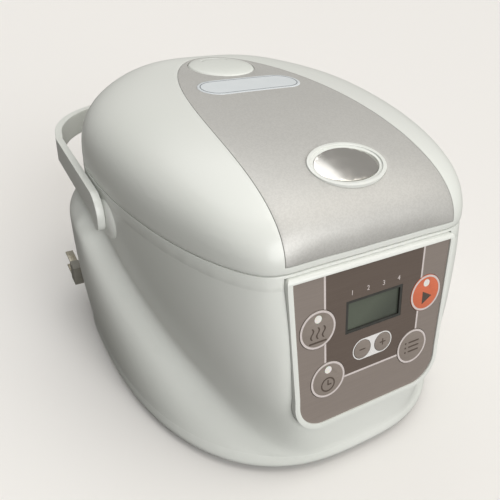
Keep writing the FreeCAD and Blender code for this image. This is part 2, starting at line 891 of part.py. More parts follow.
post_places = [("-panel_post_x", "-panel_post_top"), ("panel_post_x", "-panel_post_top"),
               ("-panel_post_x", "-panel_post_low"), ("panel_post_x", "-panel_post_low")]
bezel_plate = panel_prism("bezel_plate", "0", "-panel_thickness", "panel_thickness")
film_recess = panel_prism("film_recess", "(-rim_width)", "-film_drop - film_thickness",
                          "film_drop + film_thickness + 1")
bezel_posts = [cylinder(f"panel_post_{index}", "post_radius", "board_depth - panel_thickness + 1",
                        (x, y, "-board_depth"))
               for index, (x, y) in enumerate(post_places, start=1)]
bezel_bores = [cylinder(f"panel_bore_{index}", "screw_radius", "board_screw_length + 0.5",
                        (x, y, "-board_depth - 0.5"))
               for index, (x, y) in enumerate(post_places, start=1)]
bezel_blank = cut("bezel_blank", bezel_plate, film_recess)
bezel_whole = fuse("bezel_whole", bezel_blank, *bezel_posts)
bezel = cut("panel_bezel_cut", bezel_whole, screen_hole("bezel", "0", "-panel_thickness - 1", "panel_thickness + 2"),
            group("bezel_holes", *button_holes("bezel", "-panel_thickness - 1", "panel_thickness + 2"),
                  *bezel_bores))
node(panel_frame(bezel), "panel_bezel")

film_blank = panel_prism("film_blank", "(-rim_width - 0.1)", "-film_drop - film_thickness", "film_thickness")
film = cut("panel_film_cut", film_blank, group("film_holes", screen_hole("film", "0", "-3", "4"),
                                               *button_holes("film", "-3", "4")))
node(panel_frame(film), "panel_film")

lens = box("lens_block", "2 * screen_half - 0.2", "screen_height - 0.2", "lens_thickness",
           ("-screen_half + 0.1", "-screen_top - screen_height + 0.1", "-screen_depth - lens_thickness"))
node(panel_frame(group("screen_lens_group", lens)), "screen_lens")
display = box("display_block", "2 * screen_half - 0.2", "screen_height - 0.2",
              "board_depth - screen_depth - lens_thickness",
              ("-screen_half + 0.1", "-screen_top - screen_height + 0.1", "-board_depth"))
node(panel_frame(group("display_group", display)), "display_module")

board_blank = box("board_blank", "2 * board_half", "board_height", "board_thickness",
                  ("-board_half", "-board_top - board_height", "-board_depth - board_thickness"))
board_holes = [cylinder(f"board_hole_{index}", "screw_radius + 0.1", "board_thickness + 2",
                        (x, y, "-board_depth - board_thickness - 1"))
               for index, (x, y) in enumerate(post_places, start=1)]
node(panel_frame(cut("control_board_cut", board_blank, group("board_holes", *board_holes))), "control_board")
board_screws = screws("board_screw", "screw_radius", "screw_head_radius", "screw_head_height", "board_screw_length",
                      [(x, y, "-board_depth - board_thickness") for x, y in post_places])
node(panel_frame(board_screws), "board_screws")

switches = [box(f"switch_{word}", "2 * switch_half", "2 * switch_half",
                "board_depth - panel_thickness - flange_depth - button_travel - fit_gap",
                (f"{x} - switch_half", f"{y} - switch_half", "-board_depth"))
            for word, (x, y, radius) in BUTTONS.items()]
node(panel_frame(group("switch_group", *switches)), "button_switches")

for word, (x, y, radius) in BUTTONS.items():
    base = "-panel_thickness - flange_depth"
    stem = cylinder(f"{word}_stem", radius, "panel_thickness + flange_depth - film_drop + button_proud", (x, y, base))
    skirt = cylinder(f"{word}_skirt", f"{radius} + button_flange", "flange_depth - fit_gap", (x, y, base))
    button = fuse(f"{word}_whole", stem, skirt)
    if word in LAMPS:
        bore = cylinder(f"{word}_bore", "lamp_radius", "20", (x, f"{y} + lamp_offset", "-15"))
        button = cut(f"{word}_cut", button, bore)
        lamp = cylinder(f"{word}_lamp_rod", "lamp_radius", "panel_thickness - film_drop + button_proud + flange_depth",
                        (x, f"{y} + lamp_offset", base))
        node(panel_frame(group(f"{word}_lamp_group", lamp)), f"{word}_lamp")
    node(panel_frame(group(f"{word}_group", button)), f"{word}_button")

# ---------------------------------------------------------------- lid

lid_bottom = size("seam_height + lid_gap")
crown = size("seam_height + lid_rise")
lid_block = shape("lid_block", solid_through(lid_levels(0, lid_bottom)))
lid_room = shape("lid_room", solid_through(lid_levels(size("lid_wall"), lid_bottom - size("overrun"))))
under_plate = shape("under_plate", solid_through(lid_levels(size("plate_thickness"), lid_bottom - size("overrun"))))
recess_prism = shape("recess_prism", plate_prism(size("plate_groove"), size("seam_height + plate_lift - plate_groove"),
                                                 crown + size("overrun")))
recess = cut("plate_recess", recess_prism, under_plate)
plate_block = shape("plate_block", plate_prism(0, size("seam_height + plate_lift"), crown + size("overrun")))
plate_blank = cut("plate_blank", common("plate_form", plate_block, lid_block), under_plate)

latch_z, latch_slope = surface_at(size("latch_y"))
latch_tilt = Rotation(V(1, 0, 0), latch_slope)


def latch_frame(item):
    """Carries a piece drawn level into the plane of the lid at the latch."""
    item.Placement = Placement(V(0, size("latch_y"), latch_z), latch_tilt)
    return item


cap_hole = cylinder("cap_hole", "cap_radius + cap_gap", "30", ("0", "cap_y", "seam_height + lid_rise - 15"))
latch_hole = latch_frame(group("latch_hole", oval("latch_hole_oval", "latch_half + 0.1",
                                                  "latch_depth_half + 0.1", "40", ("0", "0", "-20"))))
hinge_notch = box("hinge_notch", "2 * (hinge_half + notch_gap)", "30", "2 * hinge_knuckle_radius + 1",
                  ("-hinge_half - notch_gap", "hinge_y - 15", "hinge_height - hinge_knuckle_radius"))
cover = cut("lid_cover_cut", lid_block, recess, lid_room, cap_hole, latch_hole, hinge_notch)
node(cover, "lid_cover")
plate = cut("lid_plate_cut", plate_blank, cap_hole, latch_hole)
node(plate, "lid_plate")

# latch: a ring with a floor, the button in it, and the hook that the button tips
ring_blank = oval("latch_ring_blank", "latch_half", "latch_depth_half", "latch_cup + latch_proud",
                  ("0", "0", "-latch_cup"))
ring_room = oval("latch_ring_room", "latch_half - latch_rim", "latch_depth_half - latch_rim", "latch_cup + 5",
                 ("0", "0", "-latch_cup + latch_floor"))
ring_step = oval("latch_ring_step", "latch_half - 0.55 * latch_rim", "latch_depth_half - 0.55 * latch_rim", "5",
                 ("0", "0", "latch_proud - latch_step"))
stem_hole = cylinder("stem_hole", "stem_radius + fit_gap", "10", ("0", "-stem_offset", "-latch_cup - 2"))
latch_ring = cut("latch_ring_cut", ring_blank, ring_room, ring_step, stem_hole)
node(latch_frame(latch_ring), "latch_ring")

button_block = oval("latch_button_block", "latch_half - latch_rim - fit_gap", "latch_depth_half - latch_rim - fit_gap",
                    "latch_thickness + 3", ("0", "0", "-latch_thickness"))
dome = doc.addObject("Part::Sphere", "latch_dome")
dome.setExpression("Radius", bind("latch_dome_radius"))
put(dome, ("0", "0", "latch_crown - latch_dome_radius"))
button_top = common("latch_button_top", button_block, dome)
stem = cylinder("latch_stem", "stem_radius", "stem_length", ("0", "-stem_offset", "-latch_thickness - stem_length + 0.5"))
latch_button = fuse("latch_button_whole", button_top, stem)
node(latch_frame(latch_button), "latch_button")

hook_arm = box("hook_arm", "hook_width", "hook_arm_length", "hook_thickness",
               ("-hook_width / 2", "hook_pin_y", "seam_height + hook_pin_height - hook_thickness / 2"))
hook_shank = box("hook_shank", "hook_width", "hook_thickness", "hook_pin_height + hook_reach",
                 ("-hook_width / 2", "hook_pin_y - hook_thickness / 2", "seam_height - hook_reach"))
hook_nose = box("hook_nose", "hook_width", "hook_thickness / 2 + hook_nose_length", "2",
                ("-hook_width / 2", "hook_pin_y", "seam_height - hook_reach"))
hook_boss = cylinder("hook_boss", "hook_pin_radius + 2", "hook_width",
                     ("-hook_width / 2", "hook_pin_y", "seam_height + hook_pin_height"), "x")
hook_bore = cylinder("hook_bore", "hook_pin_radius + pin_gap", "hook_width + 2",
                     ("-hook_width / 2 - 1", "hook_pin_y", "seam_height + hook_pin_height"), "x")
hook = cut("latch_hook_cut", fuse("hook_whole", hook_arm, hook_shank, hook_nose, hook_boss), hook_bore)
node(hook, "latch_hook")
hook_pin = cylinder("hook_pin", "hook_pin_radius", "hook_width + 2 * ear_width + 2 * fit_gap",
                    ("-hook_width / 2 - ear_width - fit_gap", "hook_pin_y", "seam_height + hook_pin_height"), "x")
node(hook_pin, "latch_pin")

# lid base: the plate that closes the lid underneath, with the hinge knuckle and the latch ears
base_top = size("seam_height + lid_gap + lid_base_gap + lid_base_thickness")
lid_plate_blank = shape("lid_base_blank", level_plate(size("lid_wall") + 0.2,
                                                      size("seam_height + lid_gap + lid_base_gap"), base_top))
BASE_TOP = "seam_height + lid_gap + lid_base_gap + lid_base_thickness"
ears = [box(f"latch_ear_{side}", "ear_width", "2 * hook_pin_radius + 4",
            "hook_pin_height + hook_pin_radius + 2 - lid_gap - lid_base_gap - lid_base_thickness + 0.5",
            (start, "hook_pin_y - hook_pin_radius - 2", BASE_TOP + " - 0.5"))
        for side, start in (("left", "-hook_width / 2 - ear_width - fit_gap"), ("right", "hook_width / 2 + fit_gap"))]
knuckle = cylinder("knuckle", "hinge_knuckle_radius", "2 * (hinge_half - hinge_lug_width - fit_gap)",
                   ("-hinge_half + hinge_lug_width + fit_gap", "hinge_y", "hinge_height"), "x")
knuckle_arm = box("knuckle_arm", "2 * (hinge_half - hinge_lug_width - fit_gap)", "hinge_y - knuckle_root_y",
                  "lid_base_thickness",
                  ("-hinge_half + hinge_lug_width + fit_gap", "knuckle_root_y",
                   "seam_height + lid_gap + lid_base_gap"))
knuckle_bore = cylinder("knuckle_bore", "hinge_pin_radius + pin_gap", "2 * hinge_half",
                        ("-hinge_half", "hinge_y", "hinge_height"), "x")
spring_room = cylinder("spring_room", "hinge_knuckle_radius + 2", "2 * spring_half",
                       ("-spring_half", "hinge_y", "hinge_height"), "x")
hook_window = box("hook_window", "hook_width + 2 * fit_gap", "hook_thickness + 6", "lid_base_thickness + 4",
                  ("-hook_width / 2 - fit_gap", "hook_pin_y - hook_thickness / 2 - 3",
                   "seam_height + lid_gap"))
pin_bore = cylinder("pin_bore", "hook_pin_radius", "hook_width + 2 * ear_width + 4",
                    ("-hook_width / 2 - ear_width - 2", "hook_pin_y", "seam_height + hook_pin_height"), "x")
tube_hole = cylinder("tube_hole", "tube_radius + 0.1", "20", ("0", "cap_y", "seam_height - 5"))
lid_base = cut("lid_base_cut", fuse("lid_base_whole", lid_plate_blank, *ears, knuckle, knuckle_arm),
               knuckle_bore, spring_room, hook_window, pin_bore, tube_hole)
node(lid_base, "lid_base")

hinge_pin = cylinder("hinge_pin", "hinge_pin_radius", "2 * hinge_half", ("-hinge_half", "hinge_y", "hinge_height"), "x")
node(hinge_pin, "hinge_pin")
spring_turns = coil("hinge_spring_coil", "hinge_pin_radius + spring_wire", "spring_wire", "0",
                    "2 * spring_half - 1.6", 12, "0")
spring_turns.Placement = Placement(V(-size("spring_half") + 0.8, size("hinge_y"), size("hinge_height")), turned("x"))
node(spring_turns, "hinge_spring")

inner_lid = revolved("inner_lid_disc", [
    ("0", "seam_height + lid_gap + lid_base_gap - inner_lid_thickness"),
    ("inner_lid_radius", "seam_height + lid_gap + lid_base_gap - inner_lid_thickness"),
    ("inner_lid_radius", "seam_height + lid_gap + lid_base_gap"),
    ("0", "seam_height + lid_gap + lid_base_gap")])
inner_lid.setExpression("Placement.Base.y", bind("pot_middle"))
steam_hole = cylinder("steam_hole", "steam_hole_radius", "20", ("0", "cap_y", "seam_height - 5"))
node(cut("inner_lid_cut", inner_lid, steam_hole), "inner_lid")
FLANGE_TOP = "seam_height - flange_drop + flange_thickness"
seal = revolved("lid_seal", [
    ("seal_radius - seal_width", FLANGE_TOP + " + fit_gap"),
    ("seal_radius", FLANGE_TOP + " + fit_gap"),
    ("seal_radius - 1", "seam_height + lid_gap + lid_base_gap - inner_lid_thickness"),
    ("seal_radius - seal_width + 1", "seam_height + lid_gap + lid_base_gap - inner_lid_thickness")])
seal.setExpression("Placement.Base.y", bind("pot_middle"))
node(seal, "lid_seal")

# steam outlet: a socket on a tube in the lid, a cap that lifts out and its seal
CAP_EDGE = "seam_height + lid_rise - lid_wall - fit_gap"
SOCKET = "seam_height + lid_rise - cap_height"
socket = revolved("steam_socket", [
    ("tube_radius - socket_wall", "seam_height + lid_gap + lid_base_gap"),
    ("tube_radius", "seam_height + lid_gap + lid_base_gap"),
    ("tube_radius", SOCKET + " - socket_floor"),
    ("cap_radius + cap_gap + socket_wall", SOCKET + " - socket_floor"),
    ("cap_radius + cap_gap + socket_wall", CAP_EDGE),
    ("cap_radius + cap_gap", CAP_EDGE),
    ("cap_radius + cap_gap", SOCKET),
    ("tube_radius - socket_wall", SOCKET)])
socket.setExpression("Placement.Base.y", bind("cap_y"))
node(socket, "steam_socket")
TOP = "seam_height + lid_rise"
cap = revolved("cap_body", [
    ("0", TOP + " + cap_proud"),
    ("cap_radius * 0.5", TOP + " + cap_proud - 0.3"),
    ("cap_radius * 0.8", TOP + " + cap_proud - 0.9"),
    ("cap_radius - 1", TOP + " + cap_proud - 1.8"),
    ("cap_radius", TOP + " + cap_proud - 2.8"),
    ("cap_radius", SOCKET),
    ("cap_radius - cap_skirt", SOCKET),
    ("cap_radius - cap_skirt", TOP + " - cap_skirt"),
    ("0", TOP + " - cap_skirt")])
cap.setExpression("Placement.Base.y", bind("cap_y"))
crescent_outer = cylinder("crescent_outer", "cap_vent_radius", "20", ("0", "cap_y", "seam_height + lid_rise - 8"))
crescent_inner = cylinder("crescent_inner", "cap_vent_radius", "22",
                          ("0", "cap_y - cap_vent_width", "seam_height + lid_rise - 9"))
crescent_side = box("crescent_side", "2 * cap_vent_half", "cap_radius", "20",
                    ("-cap_vent_half", "cap_y", "seam_height + lid_rise - 8"))
crescent = common("crescent", cut("crescent_moon", crescent_outer, crescent_inner), crescent_side)
node(cut("steam_cap_cut", cap, crescent), "steam_cap")
cap_seal = revolved("steam_seal", [
    ("tube_radius + 2", SOCKET),
    ("tube_radius + 5", SOCKET),
    ("tube_radius + 5", SOCKET + " + 3"),
    ("tube_radius + 2", SOCKET + " + 3")])
cap_seal.setExpression("Placement.Base.y", bind("cap_y"))
node(cap_seal, "steam_seal")

# ---------------------------------------------------------------- carrying handle

BOW_POINTS = 24
BAND_DEPTH = 80.0


def bow_edges(inset):
    """One face of the bar seen from above: straight arms and a bowed back."""
    half = size("handle_inner + handle_thickness") - inset
    start = size("handle_bow_start")
    depth = size("handle_back") - start - inset
    power = 2.0 / size("handle_bow_power")
    points = []
    for turn in spread(0, math.pi, BOW_POINTS):
        across = math.copysign(abs(math.cos(turn)) ** power, math.cos(turn))
        points.append(V(half * across, start + depth * abs(math.sin(turn)) ** power, 0))
    points[0] = V(half, start, 0)
    points[-1] = V(-half, start, 0)
    bow = Part.BSplineCurve()
    bow.interpolate(Points=points, InitialTangent=V(0, 1, 0), FinalTangent=V(0, -1, 0))
    front = size("pivot_y - 2 * pivot_boss_radius")
    return [Part.makeLine(V(half, front, 0), points[0]), bow.toShape(),
            Part.makeLine(points[-1], V(-half, front, 0))]


def bar_band():
    """The bar's wall, taller than the bar; its side view is cut out of it below."""
    outer = bow_edges(0)
    inner = bow_edges(size("handle_thickness"))
    ends = [Part.makeLine(outer[at].Vertexes[end].Point, inner[at].Vertexes[end].Point)
            for at, end in ((0, 0), (2, 1))]
    face = Part.Face(Part.Wire(Part.__sortEdges__(outer + inner + ends)))
    band = face.extrude(V(0, 0, BAND_DEPTH))
    band.translate(V(0, 0, size("pivot_height") - BAND_DEPTH / 4))
    return band


band = shape("handle_band", bar_band())
side = padded("handle_side", [
    ("pivot_y - pivot_boss_radius", "pivot_height"),
    ("pivot_y + pivot_boss_radius", "pivot_height"),
    ("pivot_y + pivot_boss_radius + 5", "handle_low"),
    ("handle_back + 2", "handle_low"),
    ("handle_back + 2", "handle_high"),
    ("pivot_y - pivot_boss_radius + knee_run", "handle_high"),
    ("pivot_y - pivot_boss_radius", "handle_high - knee_drop")],
    "2 * (handle_inner + handle_thickness) + 4", "YZ_Plane")
side.setExpression("Placement.Base.x", bind("-handle_inner - handle_thickness - 2"))
boss = cylinder("handle_boss", "pivot_boss_radius", "2 * (handle_inner + handle_thickness) + 4",
                ("-handle_inner - handle_thickness - 2", "pivot_y", "pivot_height"), "x")
handle_blank = common("handle_blank", band, fuse("handle_profile", side, boss))
pivot_bores = cylinder("pivot_bores", "pivot_pin_radius + pin_gap", "2 * handle_inner + 2 * pin_bite",
                       ("-handle_inner - pin_bite", "pivot_y", "pivot_height"), "x")
node(cut("handle_cut", handle_blank, pivot_bores), "carrying_handle")
pins = [cylinder(f"pivot_pin_{side}", "pivot_pin_radius", "handle_inner + pin_bite - 0.1 - bracket_inner",
                 (start, "pivot_y", "pivot_height"), "x")
        for side, start in (("left", "-handle_inner - pin_bite + 0.1"), ("right", "bracket_inner"))]
node(group("pivot_pins_group", *pins), "handle_pins")
brackets = [box(f"bracket_{side}", "bracket_thickness", "2 * pivot_boss_radius",
                "seam_height - frame_height - pivot_height + pivot_boss_radius",
                (start, "pivot_y - pivot_boss_radius", "pivot_height - pivot_boss_radius"))
            for side, start in (("left", "-bracket_inner - bracket_thickness"), ("right", "bracket_inner"))]
bracket_bores = cylinder("bracket_bores", "pivot_pin_radius", "300", ("-150", "pivot_y", "pivot_height"), "x")
node(cut("brackets_cut", group("brackets_group", *brackets), bracket_bores), "handle_brackets")

# ---------------------------------------------------------------- cord reel, plug and power board

reel = revolved("cord_reel", [
    ("axle_radius + pin_gap", "0"),
    ("reel_radius", "0"),
    ("reel_radius", "reel_flange"),
    ("reel_core_radius", "reel_flange"),
    ("reel_core_radius", "reel_width - reel_flange"),
    ("reel_radius", "reel_width - reel_flange"),
    ("reel_radius", "reel_width"),
    ("axle_radius + pin_gap", "reel_width")])


def reel_frame(item):
    """Lays a piece turned about Z onto the reel's axle, which runs from rear to front."""
    return put(item, ("0", "reel_back", "reel_height"), Rotation(V(1, 0, 0), 90))


node(reel_frame(reel), "cord_reel")
coil_of_cord = revolved("cord_coil", [
    ("reel_core_radius", "reel_flange"),
    ("cord_radius", "reel_flange"),
    ("cord_radius", "reel_width - reel_flange"),
    ("reel_core_radius", "reel_width - reel_flange")])
node(reel_frame(coil_of_cord), "cord_coil")
axle = revolved("reel_axle", [
    ("0", "-reel_gap - bracket_plate"),
    ("axle_radius", "-reel_gap - bracket_plate"),
    ("axle_radius", "reel_width + reel_gap"),
    ("0", "reel_width + reel_gap")])
node(reel_frame(axle), "reel_axle")
reel_plate = box("reel_plate", "reel_plate_width", "bracket_plate", "reel_height + 8 - base_bottom - base_floor",
                 ("-reel_plate_width / 2", "reel_back + reel_gap", "base_bottom + base_floor"))
reel_foot = box("reel_foot", "reel_plate_width", "14", "bracket_plate",
                ("-reel_plate_width / 2", "reel_back + reel_gap - 14 + bracket_plate", "base_bottom + base_floor"))
axle_bore = cylinder("axle_bore", "axle_radius", "20", ("0", "reel_back - 5", "reel_height"), "y")
node(cut("reel_bracket_cut", fuse("reel_bracket_whole", reel_plate, reel_foot), axle_bore), "reel_bracket")

plug_block = box("plug_block", "plug_proud", "plug_width", "plug_tall",
                 ("-plug_reach - plug_proud", "plug_y - plug_width / 2", "plug_height - plug_tall / 2"))
plug_neck = cylinder("plug_neck", "outlet_radius - 1.5", "plug_neck_length", ("-plug_reach - 0.5", "plug_y", "plug_height"), "x")
plug_body = fuse("plug_whole", plug_block, plug_neck)
node(plug_body, "plug_body")
blades = [box(f"blade_{index}", "blade_width", "blade_length", "blade_thickness",
              ("-plug_reach - plug_proud / 2 - blade_width / 2", "plug_y + plug_width / 2",
               f"plug_height + {shift} * blade_spacing / 2 - blade_thickness / 2"))
          for index, shift in ((1, -1), (2, 1))]
node(group("plug_blades_group", *blades), "plug_blades")
outlet_outer = cylinder("outlet_outer", "outlet_radius", "outlet_length", ("-plug_reach + 0.3", "plug_y", "plug_height"), "x")
outlet_inner = cylinder("outlet_inner", "outlet_radius - 1.5", "outlet_length + 2",
                        ("-plug_reach - 1", "plug_y", "plug_height"), "x")
node(cut("cord_outlet_cut", outlet_outer, outlet_inner), "cord_outlet")

BOARD_LEVEL = "base_bottom + base_floor + power_board_lift"
power_board = box("power_board_plate", "power_board_length", "power_board_width", "board_thickness",
                  ("-power_board_length / 2", "power_board_front", BOARD_LEVEL))
stands = [box(f"stand_{index}", "4", "4", "power_board_lift",
              (f"{shift} * (power_board_length / 2 - 4) - 2", f"power_board_front + {near_edge}",
               "base_bottom + base_floor"))
          for index, (shift, near_edge) in enumerate(((-1, "2"), (1, "2"), (-1, "power_board_width - 6"),
                                                      (1, "power_board_width - 6")), start=1)]
node(power_board, "power_board")
node(group("board_stands_group", *stands), "board_stands")
transformer = box("transformer_block", "22", "18", "11",
                  ("-power_board_length / 2 + 6", "power_board_front + 10", BOARD_LEVEL + " + board_thickness"))
relay = box("relay_block", "16", "12", "10",
            ("power_board_length / 2 - 24", "power_board_front + 12", BOARD_LEVEL + " + board_thickness"))
node(transformer, "transformer")
node(relay, "power_relay")

# ---------------------------------------------------------------- check and write

doc.recompute()
for item in doc.Objects:
    faults = [state for state in item.State if state in ("Invalid", "Error")]
    if faults:
        raise RuntimeError(f"{item.Name} failed: {faults}")
os.makedirs("parts", exist_ok=True)
for item in NODES:
    solid = item.Shape
    if solid.isNull() or not solid.isValid() or not solid.Solids:
        raise RuntimeError(f"{item.Label} has no valid solid")
    solid.exportStep(f"parts/{item.Label}.step")
print(len(NODES), "nodes")
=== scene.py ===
"""Looks of a rice cooker, built around its packed construction.

Metres, +Z up. The cooker stands on z = 0 and its front faces -Y, as in the construction.
"""
import json
import math

import bmesh
import bpy
from mathutils import Matrix, Vector
from mathutils.bvhtree import BVHTree

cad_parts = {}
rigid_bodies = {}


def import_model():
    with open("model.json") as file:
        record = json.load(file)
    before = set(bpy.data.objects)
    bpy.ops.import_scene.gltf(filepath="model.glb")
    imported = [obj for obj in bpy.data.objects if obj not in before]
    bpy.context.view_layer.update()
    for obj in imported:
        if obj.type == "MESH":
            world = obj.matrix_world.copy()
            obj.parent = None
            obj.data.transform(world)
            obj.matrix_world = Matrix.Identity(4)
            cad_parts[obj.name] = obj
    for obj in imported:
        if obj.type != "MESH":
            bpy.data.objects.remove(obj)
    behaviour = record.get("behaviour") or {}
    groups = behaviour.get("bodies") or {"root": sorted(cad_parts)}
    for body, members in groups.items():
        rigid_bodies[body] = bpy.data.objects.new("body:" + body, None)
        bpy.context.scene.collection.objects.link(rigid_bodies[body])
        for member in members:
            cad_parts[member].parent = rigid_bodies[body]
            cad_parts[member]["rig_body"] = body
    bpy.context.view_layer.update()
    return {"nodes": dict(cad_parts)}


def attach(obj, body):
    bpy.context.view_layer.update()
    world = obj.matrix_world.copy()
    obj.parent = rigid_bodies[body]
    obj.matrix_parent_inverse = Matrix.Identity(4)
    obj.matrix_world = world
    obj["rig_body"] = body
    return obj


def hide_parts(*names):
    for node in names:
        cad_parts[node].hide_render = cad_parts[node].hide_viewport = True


MM = 0.001

# places and sizes repeated from the construction, in millimetres, and the panel's lean in degrees;
# heights on the panel count from its plane
PANEL_TOP = (0, -143, 144)
PANEL_LEAN = 11.2
FILM_TOP = -0.8
KEY_TOP = -0.5
LENS_TOP = -2.2
LENS_HALF = 20.7
LENS_RANGE = (-44.9, -23.8)
KEYS = {"keep_warm": (-40, -35.2), "start": (40, -35.2), "timer": (-32.4, -71), "menu": (32.4, -71),
        "minus": (-7.7, -59), "plus": (7.7, -59)}
SMALL_KEYS = ("minus", "plus")
SEAM = 145
BEZEL_HALF = 59.5
POT_AXIS = (0, -22)
POT_INSIDE = 87.4
PIVOT = (-14, 126)

# the pot is bare metal outside below its rim and under its floor; nearer its axis than this, no
# face counts as its outside
POT_RIM = 139
POT_FLOOR = 38.5
POT_CORE = 30

# the handle's knees lie in front of and above these places
KNEE_BACK = -10
KNEE_LOW = 131

# rounding that only the looks have, in millimetres
KNEE_ROUND = 5.5
SEAM_ROUND_LID = 1.3
SEAM_ROUND_RIM = 0.5
BEZEL_CORNER = 3.0

# low bosses over the handle's pins
BOSS_FACE = 118.05
BOSS_FOOT = 112.5
BOSS_WIDE = 15
BOSS_FLAT = 7
BOSS_STEPS = 10

# print on the panel's film
FIELD_TOP = 5
FIELD_FOOT = -73
FIELD_FOOT_HALF = 33.4
FIELD_TOP_HALF = 35.6
FIELD_LIFT = 0.04
LINE_GAP = 0.6
LINE_HALF = 0.65
LINE_LIFT = 0.08
GROUND_LENGTH = 29.6
GROUND_WIDTH = 14.2
GROUND_LIFT = 0.12
FIGURE_SIZE = 4.2
FIGURE_LEFT = -16.9
FIGURE_PITCH = 11.4
FIGURE_LEVEL = -19.0
FIGURE_LIFT = 0.1
INK_SINK = 0.02
DISPLAY_EDGE = 1.6
EDGE_SINK = 0.05

# print on the keys
RING_INNER = 10.6
RING_OUTER = 11.85
INK_LOW = KEY_TOP - 0.04
INK_HIGH = KEY_TOP + 0.05
SYMBOL_SIZE = 1.15
STROKE = 0.8

# bare label on the lid and the line inside its edge
LABEL_CENTRE = (0, 10.5)
LABEL_LENGTH = 79
LABEL_WIDTH = 28.4
LABEL_SHEET = (84, 34)
EDGE_LINE_INSET = 1.9
EDGE_LINE_WIDTH = 0.7

# water marks on the pot's inner wall
MARK_FOOT = 62
MARK_PITCH = 12
MARK_LENGTH = 16
MARK_WIDTH = 0.7
MARK_FIGURE = 6.5
MARK_FIGURE_SHIFT = 12.5
MARK_LAYER = (-0.05, 0.08)

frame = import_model()
nodes = frame["nodes"]


# ---------------------------------------------------------------- colour and node helpers

def linear(hex_colour):
    """The linear colour of an sRGB hex value."""
    channels = [int(hex_colour[at:at + 2], 16) / 255 for at in (1, 3, 5)]
    return [c / 12.92 if c <= 0.04045 else ((c + 0.055) / 1.055) ** 2.4 for c in channels] + [1.0]


def add(tree, kind, settings=None, inputs=None):
    """Adds a shader node, sets its settings and fills its sockets with values or links."""
    node = tree.nodes.new("ShaderNode" + kind)
    for word, value in (settings or {}).items():
        setattr(node, word, value)
    for socket, value in (inputs or {}).items():
        if isinstance(value, bpy.types.NodeSocket):
            tree.links.new(value, node.inputs[socket])
        else:
            node.inputs[socket].default_value = value
    return node


def new_material(name, colour, roughness, **sockets):
    """A material with a shader whose plain values are set on its own sockets."""
    material = bpy.data.materials.new(name)
    material.use_nodes = True
    tree = material.node_tree
    shader = tree.nodes["Principled BSDF"]
    shader.inputs["Base Color"].default_value = linear(colour)
    shader.inputs["Roughness"].default_value = roughness
    for word, value in sockets.items():
        shader.inputs[word.replace("_", " ")].default_value = value
    return material, tree, shader


def place_on_piece(tree, stretch=(1, 1, 1), centre=(0, 0, 0)):
    """The place on the piece in metres, drawn out along its axes and centred in millimetres."""
    place = add(tree, "TexCoord").outputs["Object"]
    return add(tree, "Mapping", {"vector_type": "TEXTURE"},
               {"Vector": place, "Location": [c * MM for c in centre], "Scale": stretch}).outputs["Vector"]


def grains(tree, size_mm, detail=2.0, place=None):
    """Soft noise whose lumps are about this wide."""
    return add(tree, "TexNoise", None, {"Vector": place or place_on_piece(tree), "Scale": 1000.0 / size_mm,
                                        "Detail": detail}).outputs["Fac"]


def cells(tree, size_mm, feature="F1"):
    """Cells that are about this wide, as flakes, spangles or tracks."""
    return add(tree, "TexVoronoi", {"feature": feature},
               {"Vector": place_on_piece(tree), "Scale": 1000 / size_mm})


def blend_colours(tree, shader, factor, low, high):
    """Runs the base colour from low to high with a factor."""
    ramp = add(tree, "ValToRGB", None, {"Fac": factor})
    ramp.color_ramp.elements[0].position = 0.3
    ramp.color_ramp.elements[1].position = 0.7
    ramp.color_ramp.elements[0].color = linear(low)
    ramp.color_ramp.elements[1].color = linear(high)
    tree.links.new(ramp.outputs["Color"], shader.inputs["Base Color"])


def vary_roughness(tree, shader, factor, low, high):
    """Runs the roughness from low to high with a factor."""
    spread = add(tree, "MapRange", None, {"Value": factor, "From Min": 0.3, "From Max": 0.7,
                                          "To Min": low, "To Max": high})
    tree.links.new(spread.outputs["Result"], shader.inputs["Roughness"])


def raise_surface(tree, shader, height, depth_mm, strength=1.0):
    """Bump from a height that runs from 0 to 1 over a depth."""
    bump = add(tree, "Bump", None, {"Height": height, "Distance": depth_mm * MM, "Strength": strength})
    tree.links.new(bump.outputs["Normal"], shader.inputs["Normal"])


# ---------------------------------------------------------------- finishes

def moulded_white_abs():
    """Injection moulded white ABS from a polished tool: a cool white with a soft sheen, whose
    tone and gloss change a little from place to place."""
    material, tree, shader = new_material("moulded_white_abs", "#dfe2dc", 0.30, IOR=1.53)
    blend_colours(tree, shader, grains(tree, 90, 0.0), "#dee1db", "#e2e4df")
    vary_roughness(tree, shader, grains(tree, 60, 0.0), 0.28, 0.32)
    return material


def silver_lacquer():
    """Sprayed metallic silver under clear lacquer: the flakes give a fine sparkle and a broad,
    soft highlight over a warm grey."""
    material, tree, shader = new_material("metallic_silver_lacquer", "#bebdb9", 0.46, Metallic=0.35,
                                          Coat_Weight=0.1, Coat_Roughness=0.3)
    # real flakes are about 0.05 mm; they are drawn at 0.8 mm so that they show
    flakes = cells(tree, 0.8)
    shade = add(tree, "SeparateColor", None, {"Color": flakes.outputs["Color"]}).outputs["Red"]
    blend_colours(tree, shader, shade, "#bcbbb7", "#c2c1bd")
    vary_roughness(tree, shader, grains(tree, 30, 2.0), 0.46, 0.52)
    raise_surface(tree, shader, shade, 0.01, 0.08)
    return material


def chrome_plated_abs():
    """Bright chrome on moulded plastic, worn by fingers: a soft mirror with a faint waviness."""
    material, tree, shader = new_material("chrome_plated_abs", "#dcdad5", 0.16, Metallic=1.0)
    vary_roughness(tree, shader, grains(tree, 8, 1.0), 0.14, 0.20)
    raise_surface(tree, shader, grains(tree, 20, 0.0), 0.03, 0.1)
    return material


def hairline(tree):
    """Noise drawn out across the panel: hairlines about 0.5 mm apart and 30 mm long."""
    return grains(tree, 1.0, 2.0, place_on_piece(tree, (30, 0.5, 0.5)))


